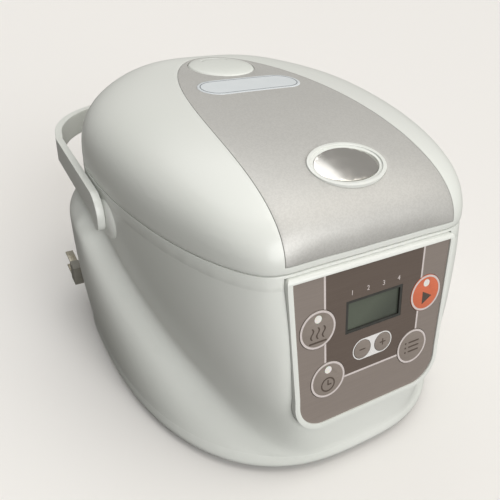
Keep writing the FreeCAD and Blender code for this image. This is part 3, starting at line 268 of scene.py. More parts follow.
def film_ink(name, low, high):
    """Satin polyester film, screen printed on its back in a warm metallic ink, which gives a
    faint horizontal hairline."""
    material, tree, shader = new_material(name, low, 0.36, Coat_Weight=0.35, Coat_Roughness=0.22)
    blend_colours(tree, shader, hairline(tree), low, high)
    raise_surface(tree, shader, grains(tree, 3, 2.0), 0.01, 0.3)
    return material


def taupe_film():
    return film_ink("taupe_printed_film", "#857b74", "#8a8079")


def dark_taupe_film():
    return film_ink("dark_taupe_printed_film", "#5e524a", "#63574f")


def taupe_key():
    return film_ink("taupe_key_film", "#877d75", "#8c827a")


def orange_key():
    return film_ink("orange_key_film", "#cf6c4b", "#d37251")


def printing_ink(name, low, high):
    """Screen printing ink: opaque, nearly matt, a little uneven at its full strength."""
    material, tree, shader = new_material(name, low, 0.5)
    blend_colours(tree, shader, grains(tree, 1.5, 2.0), low, high)
    raise_surface(tree, shader, grains(tree, 0.8, 1.0), 0.01, 0.3)
    return material


def pale_ink():
    return printing_ink("pale_printing_ink", "#cbc2bf", "#d3cac7")


def white_ink():
    return printing_ink("white_printing_ink", "#dedcda", "#e4e2e0")


def dark_ink():
    return printing_ink("dark_brown_printing_ink", "#4b4038", "#554940")


def grey_ink():
    return printing_ink("grey_printing_ink", "#7f858a", "#878d92")


def label_film():
    """Gloss vinyl label with a bluish white ground."""
    material, tree, shader = new_material("bluish_white_vinyl_label", "#e0e5e8", 0.3, Coat_Weight=0.3)
    blend_colours(tree, shader, grains(tree, 12, 2.0), "#dde3e6", "#e2e7ea")
    raise_surface(tree, shader, grains(tree, 6, 1.0), 0.03, 0.3)
    return material


def display_glass():
    """Clear acrylic window over a switched-off liquid crystal display: a grey green under a hard gloss,
    with painted shade that darkens it to the right and below."""
    material, tree, shader = new_material("acrylic_display_window", "#50554c", 0.15, Coat_Weight=0.3,
                                          Coat_Roughness=0.05)
    # painted shade: the colour runs darker to the right and below across the window
    place = place_on_piece(tree, centre=(0, -150, 110))
    axes = add(tree, "SeparateXYZ", None, {"Vector": place})
    down = add(tree, "Math", {"operation": "MULTIPLY"}, {0: axes.outputs["Z"], 1: -1.2})
    shade = add(tree, "Math", {"operation": "ADD"}, {0: axes.outputs["X"], 1: down.outputs["Value"]})
    painted_shade = add(tree, "MapRange", None, {"Value": shade.outputs["Value"],
                                        "From Min": -0.02, "From Max": 0.035})
    blend_colours(tree, shader, painted_shade.outputs["Result"], "#595f54", "#484d45")
    raise_surface(tree, shader, grains(tree, 1.2, 1.0), 0.004, 0.2)
    return material


def display_block():
    """Dark grey moulded frame of the display."""
    material, tree, shader = new_material("dark_display_frame", "#33332f", 0.55)
    blend_colours(tree, shader, grains(tree, 5), "#2f2f2b", "#383834")
    raise_surface(tree, shader, grains(tree, 0.6), 0.02, 0.4)
    return material


def milky_lamp():
    """Milky polycarbonate light guide, switched off: it scatters light below its gloss."""
    material, tree, shader = new_material("milky_polycarbonate", "#e8e4de", 0.25, Subsurface_Weight=0.2,
                                          Subsurface_Scale=0.001)
    blend_colours(tree, shader, grains(tree, 3), "#e5e1da", "#eeebe6")
    return material


def grey_rubber():
    """Moulded grey rubber: matt, with a fine pitted skin."""
    material, tree, shader = new_material("moulded_grey_rubber", "#585856", 0.8)
    blend_colours(tree, shader, grains(tree, 4), "#525250", "#5f5f5d")
    raise_surface(tree, shader, grains(tree, 0.5, 3.0), 0.04, 0.5)
    return material


def drawn_steel():
    """Bright drawn steel wire and rod, with faint draw lines."""
    material, tree, shader = new_material("drawn_steel", "#b2b2b4", 0.28, Metallic=1.0)
    blend_colours(tree, shader, grains(tree, 6), "#aaaaac", "#babbbd")
    vary_roughness(tree, shader, grains(tree, 1.0, 2.0, place_on_piece(tree, (12, 0.6, 0.6))), 0.22, 0.36)
    return material


def nonstick_coating():
    """Sprayed fluoropolymer non-stick coating: charcoal, satin, with fine pale flecks."""
    material, tree, shader = new_material("charcoal_nonstick_coating", "#3b3b3d", 0.38)
    flecks = cells(tree, 1.6)
    dots = add(tree, "MapRange", None, {"Value": flecks.outputs["Distance"], "From Min": 0.10,
                                        "From Max": 0.2, "To Min": 1.0, "To Max": 0.0})
    blend_colours(tree, shader, dots.outputs["Result"], "#39393b", "#8d8d8f")
    raise_surface(tree, shader, grains(tree, 0.8, 2.0), 0.02, 0.4)
    return material


def spun_aluminium():
    """Satin spun aluminium: fine rings turned about the pot's axis."""
    material, tree, shader = new_material("spun_aluminium", "#b9b9ba", 0.34, Metallic=1.0)
    rings = add(tree, "TexWave", {"wave_type": "RINGS", "rings_direction": "Z"},
                {"Vector": place_on_piece(tree, centre=(*POT_AXIS, 0)), "Scale": 1000 / 6.0,
                 "Distortion": 1.5, "Detail": 2.0, "Detail Scale": 2.0})
    blend_colours(tree, shader, rings.outputs["Fac"], "#b0b0b1", "#bfbfc1")
    vary_roughness(tree, shader, rings.outputs["Fac"], 0.30, 0.40)
    raise_surface(tree, shader, rings.outputs["Fac"], 0.02, 0.4)
    return material


def galvanised_sheet():
    """Hot dip galvanised steel sheet: pale spangles about 6 mm across."""
    material, tree, shader = new_material("galvanised_sheet", "#a3a6a8", 0.42, Metallic=0.9)
    spangles = cells(tree, 6)
    shade = add(tree, "SeparateColor", None, {"Color": spangles.outputs["Color"]}).outputs["Green"]
    blend_colours(tree, shader, shade, "#969a9c", "#adb0b2")
    vary_roughness(tree, shader, shade, 0.34, 0.52)
    return material


def white_silicone():
    """Moulded translucent silicone: milky, soft and slightly tacky looking."""
    material, tree, shader = new_material("milky_silicone", "#dcdcd7", 0.5, Subsurface_Weight=0.25,
                                          Subsurface_Scale=0.002)
    blend_colours(tree, shader, grains(tree, 8), "#d8d8d2", "#e2e2dd")
    raise_surface(tree, shader, grains(tree, 1.5), 0.02, 0.3)
    return material


def circuit_board():
    """Glass epoxy board under green solder mask: the copper tracks show as paler lines."""
    material, tree, shader = new_material("green_solder_mask", "#1f5137", 0.35, Coat_Weight=0.3)
    tracks = cells(tree, 7, "DISTANCE_TO_EDGE")
    lines = add(tree, "MapRange", None, {"Value": tracks.outputs["Distance"], "From Min": 0.03,
                                         "From Max": 0.07, "To Min": 1.0, "To Max": 0.0})
    blend_colours(tree, shader, lines.outputs["Result"], "#1d4c33", "#3c7d57")
    raise_surface(tree, shader, lines.outputs["Result"], 0.03, 0.5)
    return material


def black_component():
    """Moulded black epoxy of relays and transformers: matt, with a spark-eroded texture."""
    material, tree, shader = new_material("black_epoxy_case", "#222224", 0.6)
    blend_colours(tree, shader, grains(tree, 3), "#1f1f21", "#28282a")
    raise_surface(tree, shader, grains(tree, 0.6, 3.0), 0.03, 0.5)
    return material


def soft_pvc(name, low, high):
    """Soft moulded PVC: satin, with a faint flow pattern."""
    material, tree, shader = new_material(name, low, 0.5)
    blend_colours(tree, shader, grains(tree, 6), low, high)
    raise_surface(tree, shader, grains(tree, 1.0), 0.02, 0.35)
    return material


def plug_pvc():
    return soft_pvc("grey_beige_plug_pvc", "#8b887f", "#918e85")


def cord_pvc():
    return soft_pvc("grey_cord_pvc", "#94928d", "#9d9b96")


def nickelled_brass():
    """Nickel plated brass, whose thin plating lets a little yellow through."""
    material, tree, shader = new_material("nickelled_brass", "#b5ae9c", 0.3, Metallic=1.0)
    blend_colours(tree, shader, grains(tree, 6), "#b3ab97", "#b8b3a5")
    vary_roughness(tree, shader, grains(tree, 3), 0.26, 0.34)
    return material


def natural_plastic():
    """Uncoloured moulded polypropylene: a greyish, waxy white."""
    material, tree, shader = new_material("natural_polypropylene", "#c9c9c3", 0.48, Subsurface_Weight=0.1,
                                          Subsurface_Scale=0.002)
    blend_colours(tree, shader, grains(tree, 15), "#c5c5bf", "#cfcfca")
    raise_surface(tree, shader, grains(tree, 1.2), 0.02, 0.3)
    return material


made = {}


def finish(maker):
    """The material of a finish, made once and shared."""
    if maker not in made:
        made[maker] = maker()
    return made[maker]


FINISH_OF = {
    moulded_white_abs: ("outer_body", "base_cover", "top_frame", "panel_bezel", "lid_cover", "latch_ring",
                        "lid_base", "steam_socket", "steam_cap", "carrying_handle", "cord_outlet"),
    silver_lacquer: ("lid_plate",),
    chrome_plated_abs: ("latch_button",),
    taupe_film: ("panel_film",),
    taupe_key: ("keep_warm_button", "timer_button", "menu_button", "minus_button", "plus_button"),
    orange_key: ("start_button",),
    milky_lamp: ("keep_warm_lamp", "start_lamp", "timer_lamp"),
    display_glass: ("screen_lens",),
    display_block: ("display_module",),
    grey_rubber: ("rubber_feet",),
    drawn_steel: ("base_screws", "board_screws", "hinge_pin", "hinge_spring", "handle_pins", "latch_pin",
                  "sensor_spring", "reel_axle"),
    nonstick_coating: ("inner_pot",),
    spun_aluminium: ("heater_plate", "pot_sensor", "inner_lid"),
    galvanised_sheet: ("handle_brackets", "reel_bracket", "well_case"),
    white_silicone: ("lid_seal", "steam_seal"),
    circuit_board: ("control_board", "power_board"),
    black_component: ("transformer", "power_relay", "button_switches", "thermal_fuse"),
    plug_pvc: ("plug_body",),
    cord_pvc: ("cord_coil",),
    nickelled_brass: ("plug_blades",),
    natural_plastic: ("latch_hook", "cord_reel", "board_stands"),
}


def dress_construction():
    """Gives every construction piece its finish."""
    for maker, names in FINISH_OF.items():
        for name in names:
            nodes[name].data.materials.clear()
            nodes[name].data.materials.append(finish(maker))


def maker_of(name):
    """The finish that a construction piece has."""
    return next(maker for maker, names in FINISH_OF.items() if name in names)


# ---------------------------------------------------------------- piece helpers

IN_MM = Matrix.Scale(MM, 4)


def verts_of(items):
    """The vertices among what a bmesh operator gives back."""
    return [item for item in items if isinstance(item, bmesh.types.BMVert)]


def make_piece(name, bm, maker, body, place=None):
    """A finished piece from a bmesh, which rides a body. place turns millimetres into the frame."""
    if place is not None:
        bmesh.ops.transform(bm, matrix=place, verts=bm.verts)
        bmesh.ops.recalc_face_normals(bm, faces=bm.faces)
    mesh = bpy.data.meshes.new(name)
    bm.to_mesh(mesh)
    bm.free()
    mesh.materials.append(finish(maker))
    piece = bpy.data.objects.new(name, mesh)
    bpy.context.scene.collection.objects.link(piece)
    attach(piece, body)
    return piece


def shade_smooth(piece):
    for face in piece.data.polygons:
        face.use_smooth = True


def softened(name, width, flat=0.5, sharp=32, segments=3):
    """A merged copy of a construction piece with rounded edges, shown in its place. Facets that
    are flat to within an angle are joined first; a flat of 0 leaves them."""
    bm = bmesh.new()
    bm.from_mesh(nodes[name].data)
    bmesh.ops.remove_doubles(bm, verts=bm.verts, dist=1e-6)
    if flat:
        bmesh.ops.dissolve_limit(bm, angle_limit=math.radians(flat), verts=bm.verts, edges=bm.edges)
    piece = make_piece(name + "_finished", bm, maker_of(name), nodes[name]["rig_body"])
    shade_smooth(piece)
    rounding = piece.modifiers.new("rounded_edges", "BEVEL")
    rounding.width = width * MM
    rounding.segments = segments
    rounding.limit_method = "ANGLE"
    rounding.angle_limit = math.radians(sharp)
    rounding.harden_normals = True
    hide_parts(name)
    return piece


PANEL = IN_MM @ Matrix.Translation(PANEL_TOP) @ Matrix.Rotation(math.radians(90 - PANEL_LEAN), 4, "X")


def cut_to_outline(bm, points):
    """Keeps what lies inside a convex outline, given anticlockwise, of a flat sheet."""
    for start, end in zip(points, points[1:] + points[:1]):
        along = Vector((end[0] - start[0], end[1] - start[1], 0))
        outwards = Vector((along.y, -along.x, 0))
        bmesh.ops.bisect_plane(bm, geom=bm.verts[:] + bm.edges[:] + bm.faces[:],
                               plane_co=(start[0], start[1], 0), plane_no=outwards, clear_outer=True)


def keep_edge(bm, width):
    """Keeps only a band of this width along the edge of a flat sheet."""
    bm.normal_update()
    band = bmesh.ops.inset_region(bm, faces=bm.faces[:], thickness=width, use_boundary=True,
                                  use_even_offset=True)["faces"]
    inside = [face for face in bm.faces if face not in band]
    bmesh.ops.delete(bm, geom=inside, context="FACES")


def thicken(bm, low, high):
    """Makes a flat sheet solid between two heights."""
    faces = bm.faces[:]
    raised = bmesh.ops.extrude_face_region(bm, geom=faces, use_keep_orig=True)["geom"]
    for vert in bm.verts:
        vert.co.z = low
    for vert in verts_of(raised):
        vert.co.z = high


def film_patch(name, outline, maker, lift):
    """A patch of ink on the panel's film, with the film's own holes."""
    bm = bmesh.new()
    bm.from_mesh(nodes["panel_film"].data)
    bmesh.ops.transform(bm, matrix=PANEL.inverted(), verts=bm.verts)
    bmesh.ops.remove_doubles(bm, verts=bm.verts, dist=0.001)
    bm.normal_update()
    below = [face for face in bm.faces
             if face.calc_center_median().z < FILM_TOP - 0.05 or face.normal.z < 0.9]
    bmesh.ops.delete(bm, geom=below, context="FACES")
    cut_to_outline(bm, outline)
    thicken(bm, FILM_TOP - INK_SINK, FILM_TOP + lift)
    return make_piece(name, bm, maker, "base", PANEL)


def rounded_bar(length, width, segments=24):
    """A flat bar with round ends along X, as an outline of points."""
    points = []
    for index in range(segments):
        angle = 2 * math.pi * (index + 0.5) / segments
        shift = math.copysign(0.5 * (length - width), math.cos(angle))
        points.append((0.5 * width * math.cos(angle) + shift, 0.5 * width * math.sin(angle)))
    return points


def add_bar(bm, length, width, centre, turn, low, high, segments=24):
    """Adds a thin bar with round ends to a bmesh."""
    disc = bmesh.ops.create_circle(bm, cap_ends=True, segments=segments, radius=0.5 * width,
                                   matrix=Matrix.Rotation(math.pi / segments, 4, "Z"))["verts"]
    for vert in disc:
        vert.co.x += math.copysign(0.5 * (length - width), vert.co.x)
    face = list({face for vert in disc for face in vert.link_faces})
    top = bmesh.ops.extrude_face_region(bm, geom=face, use_keep_orig=True)["geom"]
    risen = verts_of(top)
    bmesh.ops.translate(bm, verts=disc, vec=(0, 0, low))
    bmesh.ops.translate(bm, verts=risen, vec=(0, 0, high))
    place = Matrix.Translation((centre[0], centre[1], 0)) @ Matrix.Rotation(math.radians(turn), 4, "Z")
    bmesh.ops.transform(bm, matrix=place, verts=disc + risen)


def add_ring(bm, inner, outer, centre, low, high, steps=64):
    """Adds a flat ring to a bmesh, spun from its section."""
    section = [bm.verts.new((radius, 0, height)) for radius, height in
               ((inner, low), (outer, low), (outer, high), (inner, high))]
    edges = [bm.edges.new((a, b)) for a, b in zip(section, section[1:] + section[:1])]
    before = set(bm.verts) - set(section)
    bmesh.ops.spin(bm, geom=section + edges, axis=(0, 0, 1), cent=(0, 0, 0), angle=2 * math.pi,
                   steps=steps, use_merge=True)
    spun = [vert for vert in bm.verts if vert not in before]
    bmesh.ops.translate(bm, verts=spun, vec=(centre[0], centre[1], 0))


def add_text(words, height):
    """Plain figures as a flat mesh in millimetres, centred on the origin."""
    curve = bpy.data.curves.new("figures", "FONT")
    curve.body = words
    curve.size = height
    curve.align_x = "CENTER"
    curve.align_y = "CENTER"
    holder = bpy.data.objects.new("figures", curve)
    bpy.context.scene.collection.objects.link(holder)
    bpy.context.view_layer.update()
    mesh = bpy.data.meshes.new_from_object(holder)
    bpy.data.objects.remove(holder)
    bpy.data.curves.remove(curve)
    bm = bmesh.new()
    bm.from_mesh(mesh)
    bpy.data.meshes.remove(mesh)
    return bm


# ---------------------------------------------------------------- control panel

def print_panel():
    """The darker field of the panel, its pale lines, the white ground of the small keys and the
    figures over the display."""
    field = [(-FIELD_FOOT_HALF, FIELD_FOOT), (FIELD_FOOT_HALF, FIELD_FOOT),
             (FIELD_TOP_HALF, FIELD_TOP), (-FIELD_TOP_HALF, FIELD_TOP)]
    film_patch("panel_field", field, dark_taupe_film, FIELD_LIFT)
    line_foot = FIELD_FOOT - LINE_GAP
    for side, word in ((-1, "left"), (1, "right")):
        foot = side * (FIELD_FOOT_HALF + LINE_GAP)
        top = side * (FIELD_TOP_HALF + LINE_GAP)
        line = [(foot - LINE_HALF, line_foot), (foot + LINE_HALF, line_foot),
                (top + LINE_HALF, FIELD_TOP), (top - LINE_HALF, FIELD_TOP)]
        film_patch("panel_line_" + word, line, pale_ink, LINE_LIFT)
    low, high = line_foot - LINE_HALF, line_foot + LINE_HALF
    line = [(-FIELD_FOOT_HALF, low), (FIELD_FOOT_HALF, low),
            (FIELD_FOOT_HALF, high), (-FIELD_FOOT_HALF, high)]
    film_patch("panel_line_low", line, pale_ink, LINE_LIFT)
    ground = [(x, y + KEYS["minus"][1]) for x, y in rounded_bar(GROUND_LENGTH, GROUND_WIDTH, 40)]
    film_patch("small_key_ground", ground, white_ink, GROUND_LIFT)
    for index, figure in enumerate("1234"):
        bm = add_text(figure, FIGURE_SIZE)
        thicken(bm, FILM_TOP - INK_SINK, FILM_TOP + FIGURE_LIFT)
        place = PANEL @ Matrix.Translation((FIGURE_LEFT + FIGURE_PITCH * index, FIGURE_LEVEL, 0))
        make_piece("course_figure_" + figure, bm, pale_ink, "base", place)


def ring_key(key):
    """The pale ring printed on a round key."""
    bm = bmesh.new()
    add_ring(bm, RING_INNER, RING_OUTER, KEYS[key], INK_LOW, INK_HIGH)
    make_piece(key + "_ring", bm, pale_ink, key + "_button", PANEL)


def mark_key(key, draw):
    """A dark symbol printed on a key."""
    bm = bmesh.new()
    draw(bm)
    if key not in SMALL_KEYS:
        bmesh.ops.scale(bm, verts=bm.verts, vec=(SYMBOL_SIZE, SYMBOL_SIZE, 1))
    bmesh.ops.translate(bm, verts=bm.verts, vec=(*KEYS[key], 0))
    make_piece(key + "_symbol", bm, dark_ink, key + "_button", PANEL)


def draw_steam(bm):
    """Three curls of steam over a plate."""
    for shift in (-3.4, 0.0, 3.4):
        grid = bmesh.ops.create_grid(bm, x_segments=1, y_segments=14, size=0.5)["verts"]
        for vert in grid:
            height = vert.co.y
            vert.co.x = vert.co.x * 0.9 + 0.75 * math.sin(2 * math.pi * height)
            vert.co.y = height * 6.4
            vert.co.z = INK_LOW
        faces = list({face for vert in grid for face in vert.link_faces})
        tops = verts_of(bmesh.ops.extrude_face_region(bm, geom=faces, use_keep_orig=True)["geom"])
        bmesh.ops.translate(bm, verts=tops, vec=(0, 0, INK_HIGH - INK_LOW))
        bmesh.ops.translate(bm, verts=grid + tops, vec=(shift, -1.6, 0))
    add_bar(bm, 10.5, 1.0, (0, -6.8), 0, INK_LOW, INK_HIGH)


def draw_triangle(bm):
    """The usual start triangle."""
    corners = bmesh.ops.create_circle(bm, cap_ends=True, segments=3, radius=4.4,
                                      matrix=Matrix.Identity(4))["verts"]
    bmesh.ops.rotate(bm, verts=corners, cent=(0, 0, 0), matrix=Matrix.Rotation(math.pi / 6, 3, "Z"))
    thicken(bm, INK_LOW, INK_HIGH)
    bmesh.ops.translate(bm, verts=bm.verts, vec=(0, -2.6, 0))


def draw_clock(bm):
    """A clock face with two hands."""
    add_ring(bm, 3.5, 4.3, (0, -3.0), INK_LOW, INK_HIGH, 40)
    add_bar(bm, 3.2, STROKE, (0, -1.8), 90, INK_LOW, INK_HIGH)
    add_bar(bm, 2.6, STROKE, (0.9, -3.1), 0, INK_LOW, INK_HIGH)


def draw_list(bm):
    """Three lines of a list, each with its dot."""
    for row in (2.9, 0.0, -2.9):
        add_bar(bm, 7.6, 0.95, (1.2, row), 0, INK_LOW, INK_HIGH)
        add_bar(bm, 1.2, 1.1, (-4.6, row), 0, INK_LOW, INK_HIGH)


def draw_minus(bm):
    """A level bar."""
    add_bar(bm, 4.6, STROKE, (0, 0), 0, INK_LOW, INK_HIGH)


def draw_plus(bm):
    """A level bar and an upright one, which lies a hair higher so that the two don't flicker."""
    draw_minus(bm)
    add_bar(bm, 4.6, STROKE, (0, 0), 90, INK_LOW, INK_HIGH + 0.01)


SYMBOLS = {"keep_warm": draw_steam, "start": draw_triangle, "timer": draw_clock, "menu": draw_list,
           "minus": draw_minus, "plus": draw_plus}


def dress_keys():
    """Rings on the round keys and a symbol on every key."""
    for key in KEYS:
        if key not in SMALL_KEYS:
            ring_key(key)
    for key, draw in SYMBOLS.items():
        mark_key(key, draw)


def frame_and_shade_display():
    """A dark band inside the display window's rim: partly the display's frame, partly painted shade of the
    recess.
    """
    low, high = LENS_RANGE
    size = Matrix.Diagonal((2 * LENS_HALF, high - low, 1, 1))
    bm = bmesh.new()
    bmesh.ops.create_grid(bm, x_segments=1, y_segments=1, size=0.5,
                          matrix=Matrix.Translation((0, 0.5 * (low + high), 0)) @ size)
    keep_edge(bm, DISPLAY_EDGE)
    thicken(bm, LENS_TOP - EDGE_SINK, FILM_TOP - EDGE_SINK)
    # painted shade: the band's dark colour also stands for the shadow inside the window's recess
    make_piece("display_frame_and_shade", bm, display_block, "base", PANEL)


# ---------------------------------------------------------------- lid

def drape(bm, tree, low, high):
    """Lays a thick sheet, flat on z = 0 and 1, on the surface below it."""
    for vert in bm.verts:
        hit = tree.ray_cast(Vector((vert.co.x * MM, vert.co.y * MM, 0.3)), Vector((0, 0, -1)))[0]
        vert.co = (vert.co.x, vert.co.y, hit.z / MM + (high if vert.co.z > 0.5 else low))


def lay_name_plate():
    """The bare label on the lid's plate, with a thin line inside its edge."""
    tree = BVHTree.FromObject(nodes["lid_plate"], bpy.context.evaluated_depsgraph_get())
    across, along = LABEL_CENTRE
    outline = [(x + across, y + along) for x, y in rounded_bar(LABEL_LENGTH, LABEL_WIDTH, 72)]
    bm = bmesh.new()
    place = Matrix.Translation((across, along, 0)) @ Matrix.Diagonal((*LABEL_SHEET, 1, 1))
    bmesh.ops.create_grid(bm, x_segments=56, y_segments=24, size=0.5, matrix=place)
    cut_to_outline(bm, outline)
    thicken(bm, 0, 1)
    drape(bm, tree, -0.1, 0.18)
    shade_smooth(make_piece("name_plate", bm, label_film, "lid", IN_MM))
    bm = bmesh.new()
    disc = bmesh.ops.create_circle(bm, cap_ends=True, segments=96, radius=0.5 * LABEL_WIDTH - EDGE_LINE_INSET,
                                   matrix=Matrix.Rotation(math.pi / 96, 4, "Z"))["verts"]
    for vert in disc:
        vert.co.x += math.copysign(0.5 * (LABEL_LENGTH - LABEL_WIDTH), vert.co.x) + across
        vert.co.y += along
    bmesh.ops.subdivide_edges(bm, edges=[edge for edge in bm.edges if edge.calc_length() > 10], cuts=24)
    keep_edge(bm, EDGE_LINE_WIDTH)
    thicken(bm, 0, 1)
    drape(bm, tree, 0.1, 0.26)
    make_piece("name_plate_line", bm, grey_ink, "lid", IN_MM)


# ---------------------------------------------------------------- cooking pot

def wrap_on_pot(bm):
    """Bends flat millimetres, X across and Y up, onto the rear of the pot's inner wall."""
    for vert in bm.verts:
        angle = vert.co.x / POT_INSIDE
        radius = POT_INSIDE - vert.co.z
        vert.co = (POT_AXIS[0] + radius * math.sin(angle), POT_AXIS[1] + radius * math.cos(angle), vert.co.y)


def mark_pot():
    """Water marks on the pot's inner wall: a short line and a plain figure for each measure."""
    for figure in "12345":
        height = MARK_FOOT + MARK_PITCH * int(figure)
        bm = bmesh.new()
        bmesh.ops.create_grid(bm, x_segments=8, y_segments=1, size=0.5, matrix=(
            Matrix.Translation((0, height, 0)) @ Matrix.Diagonal((MARK_LENGTH, MARK_WIDTH, 1, 1))))
        thicken(bm, *MARK_LAYER)
        wrap_on_pot(bm)
        make_piece("water_line_" + figure, bm, grey_ink, "base", IN_MM)
        bm = add_text(figure, MARK_FIGURE)
        thicken(bm, *MARK_LAYER)
        bmesh.ops.translate(bm, verts=bm.verts, vec=(MARK_FIGURE_SHIFT, height, 0))
        wrap_on_pot(bm)
        make_piece("water_figure_" + figure, bm, grey_ink, "base", IN_MM)


# ---------------------------------------------------------------- rounded pieces and bosses

def round_chosen(piece, offset, segments, wanted):
    """Rounds the edges of a finished piece that a test accepts; the test reads millimetres."""
    bm = bmesh.new()
    bm.from_mesh(piece.data)
    chosen = []
    for edge in bm.edges:
        ends = [vert.co / MM for vert in edge.verts]
        if len(edge.link_faces) == 2 and wanted(edge, *ends):
            chosen.append(edge)
    bmesh.ops.bevel(bm, geom=chosen, offset=offset * MM, affect="EDGES", segments=segments, profile=0.5,
                    material=-1, clamp_overlap=True)
    bm.to_mesh(piece.data)
    bm.free()
    shade_smooth(piece)


def round_handle():
    """The handle with its two knees rounded in the side view, as moulded parts have them."""
    def knee(edge, first, second):
        across = abs(first.x - second.x) > 4 and abs(first.y - second.y) + abs(first.z - second.z) < 0.2
        return across and first.y < KNEE_BACK and first.z > KNEE_LOW

    # over a wider angle the bow's own facets would be joined, which shades it in streaks
    handle = softened("carrying_handle", 1.8, flat=0.1)
    round_chosen(handle, KNEE_ROUND, 8, knee)


def outer_rim(low, high):
    """A test for the outer edge of a level rim between two heights."""
    def wanted(edge, first, second):
        if not (low < first.z < high and low < second.z < high) or edge.calc_face_angle(0) < math.radians(50):
            return False
        middle = 0.5 * (first + second)
        outwards = Vector((middle.x - POT_AXIS[0], middle.y - POT_AXIS[1], 0))
        return any(abs(face.normal.z) < 0.7 and face.normal.dot(outwards) > 0 for face in edge.link_faces)

    return wanted


def round_seam():
    """The soft groove between the lid and the rim below it."""
    round_chosen(softened("lid_cover", 0.6, flat=0), SEAM_ROUND_LID, 4, outer_rim(SEAM, SEAM + 1.2))
    round_chosen(softened("top_frame", 0.05, flat=0), SEAM_ROUND_RIM, 3, outer_rim(SEAM - 0.6, SEAM + 0.4))


def round_bezel():
    """The panel's surround, with round upper corners and softly rounded edges."""
    inverse = PANEL.inverted()

    def corner(edge, first, second):
        ends = [inverse @ (end * MM) for end in (first, second)]
        return all(abs(abs(end.x) - BEZEL_HALF) < 0.1 and end.y > -0.1 for end in ends)

    round_chosen(softened("panel_bezel", 1.3, segments=4), BEZEL_CORNER, 6, corner)


def add_pivot_bosses():
    """A low rounded boss on each side of the casing, which the handle's arm turns against."""
    for side, word in ((-1, "left"), (1, "right")):
        bm = bmesh.new()
        section = [(BOSS_FOOT, 0), (BOSS_FOOT, BOSS_WIDE)]
        for step in range(1, BOSS_STEPS + 1):
            turn = 0.5 * math.pi * step / BOSS_STEPS
            section.append((BOSS_FOOT + (BOSS_FACE - BOSS_FOOT) * math.sin(turn),
                            BOSS_FLAT + (BOSS_WIDE - BOSS_FLAT) * math.cos(turn)))
        section.append((BOSS_FACE, 0))
        verts = [bm.verts.new((side * x, radius, 0)) for x, radius in section]
        edges = [bm.edges.new(pair) for pair in zip(verts, verts[1:])]
        bmesh.ops.spin(bm, geom=verts + edges, cent=(0, 0, 0), axis=(1, 0, 0), angle=2 * math.pi, steps=64,
                       use_merge=True)
        bmesh.ops.remove_doubles(bm, verts=bm.verts, dist=0.001)
        place = IN_MM @ Matrix.Translation((0, *PIVOT))
        shade_smooth(make_piece("pivot_boss_" + word, bm, moulded_white_abs, "base", place))


def finish_pot():
    """The pot in its two finishes: coated inside, bare spun aluminium outside."""
    piece = softened("inner_pot", 0.4, flat=0, sharp=40, segments=2)
    piece.data.materials.append(finish(spun_aluminium))
    for face in piece.data.polygons:
        across = Vector((face.center.x, face.center.y - POT_AXIS[1] * MM, 0))
        outside = (face.normal.dot(across) > 0 and face.center.z < POT_RIM * MM
                   and across.length > POT_CORE * MM)
        if outside or face.center.z < POT_FLOOR * MM:
            face.material_index = 1


# ---------------------------------------------------------------- stage, light and camera

def build_stage():
    """A pale table top under the cooker."""
    mesh = bpy.data.meshes.new("floor")
    bm = bmesh.new()
    bmesh.ops.create_grid(bm, x_segments=1, y_segments=1, size=5.0)
    bm.to_mesh(mesh)
    bm.free()
    piece = bpy.data.objects.new("floor", mesh)
    bpy.context.scene.collection.objects.link(piece)
    material, tree, shader = new_material("pale_table", "#f3f1ee", 0.7, Specular_IOR_Level=0.1)
    # the table is nearly white only to the eye: its bounce is kept low, so that the shaded side stays dark
    seen = add(tree, "LightPath").outputs["Is Camera Ray"]
    blend_colours(tree, shader, seen, "#7e7c79", "#f0eeeb")
    mesh.materials.append(material)


def add_light(name, towards, spread, strength, colour):
    """A very wide, even light from a direction, as from a large soft panel far away."""
    light = bpy.data.lights.new(name, "SUN")
    light.angle = math.radians(spread)
    light.energy = strength
    light.color = linear(colour)[:3]
    lamp = bpy.data.objects.new(name, light)
    lamp.location = towards
    lamp.rotation_euler = Vector(towards).to_track_quat("Z", "Y").to_euler()
    bpy.context.scene.collection.objects.link(lamp)


# each light's name, the direction it comes from, its width in degrees, its strength and its colour
LIGHTS = (("key_light", (0.8, -0.5, 1.6), 50, 0.85, "#fffaf2"),
          ("top_light", (0.0, 0.5, 2.0), 60, 1.1, "#ffffff"),
          ("front_light", (0.15, -1.5, 0.6), 45, 2.05, "#ffffff"))


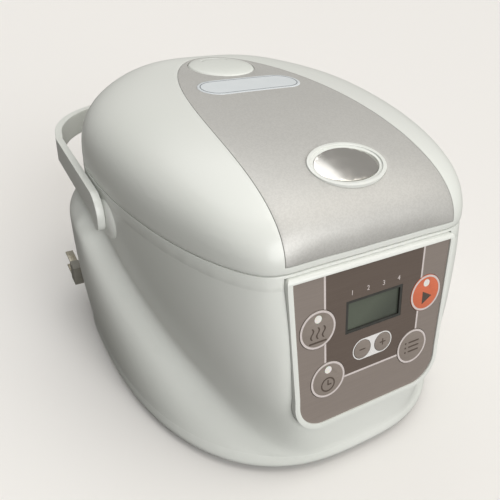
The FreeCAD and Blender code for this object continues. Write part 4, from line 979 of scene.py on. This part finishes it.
def build_lights():
    """A pale studio with three wide, even lights: above the right, overhead and at the front."""
    world = bpy.data.worlds.new("studio")
    bpy.context.scene.world = world
    world.use_nodes = True
    background = world.node_tree.nodes["Background"]
    background.inputs["Color"].default_value = linear("#e6e4e0")
    # reflections see the room's walls, which are brighter than its even light
    tree = world.node_tree
    glossy = add(tree, "LightPath").outputs["Is Glossy Ray"]
    strength = add(tree, "MapRange", None, {"Value": glossy, "To Min": 0.24, "To Max": 0.45})
    tree.links.new(strength.outputs["Result"], background.inputs["Strength"])
    for name, towards, spread, energy, colour in LIGHTS:
        add_light(name, towards, spread, energy, colour)


def build_camera():
    """A camera above the cooker's front left corner, turned a little about its own axis."""
    stand = (-0.19105, -0.32267, 0.30703)
    yaw = math.radians(31.02)
    pitch = math.radians(33.24)
    roll = math.radians(3.92)
    ahead = Vector((math.sin(yaw) * math.cos(pitch), math.cos(yaw) * math.cos(pitch), -math.sin(pitch)))
    level = Vector((math.cos(yaw), -math.sin(yaw), 0))
    upright = level.cross(ahead)
    right = math.cos(roll) * level + math.sin(roll) * upright
    top = -math.sin(roll) * level + math.cos(roll) * upright
    camera = bpy.data.cameras.new("camera")
    camera.sensor_width = 36
    camera.lens = 39.2
    eye = bpy.data.objects.new("camera", camera)
    turn = Matrix((right, top, -ahead)).transposed().to_4x4()
    eye.matrix_world = Matrix.Translation(stand) @ turn
    bpy.context.scene.collection.objects.link(eye)
    bpy.context.scene.camera = eye


# ---------------------------------------------------------------- assembly

# how much each piece's edges are rounded, in millimetres; the facets of the shells stay as they are
SHELLS = {"lid_plate": 0.3, "base_cover": 0.5}
ROUNDED = {
    "latch_ring": 0.6, "latch_button": 0.5, "steam_cap": 0.6, "plug_body": 1.0, "plug_blades": 0.2,
    "rubber_feet": 0.8, "cord_outlet": 0.5, "inner_lid": 0.3, "lid_seal": 0.7, "heater_plate": 0.6,
    "pot_sensor": 0.5, "steam_socket": 0.4, "keep_warm_button": 0.15, "start_button": 0.15,
    "timer_button": 0.15, "menu_button": 0.15, "minus_button": 0.15, "plus_button": 0.15,
}

dress_construction()
lay_name_plate()
for name, width in ROUNDED.items():
    softened(name, width)
round_handle()
round_seam()
round_bezel()
add_pivot_bosses()
for name, width in SHELLS.items():
    softened(name, width, flat=0)
print_panel()
dress_keys()
frame_and_shade_display()
finish_pot()
mark_pot()
build_stage()
build_lights()
build_camera()
bpy.context.scene.view_settings.view_transform = "Standard"
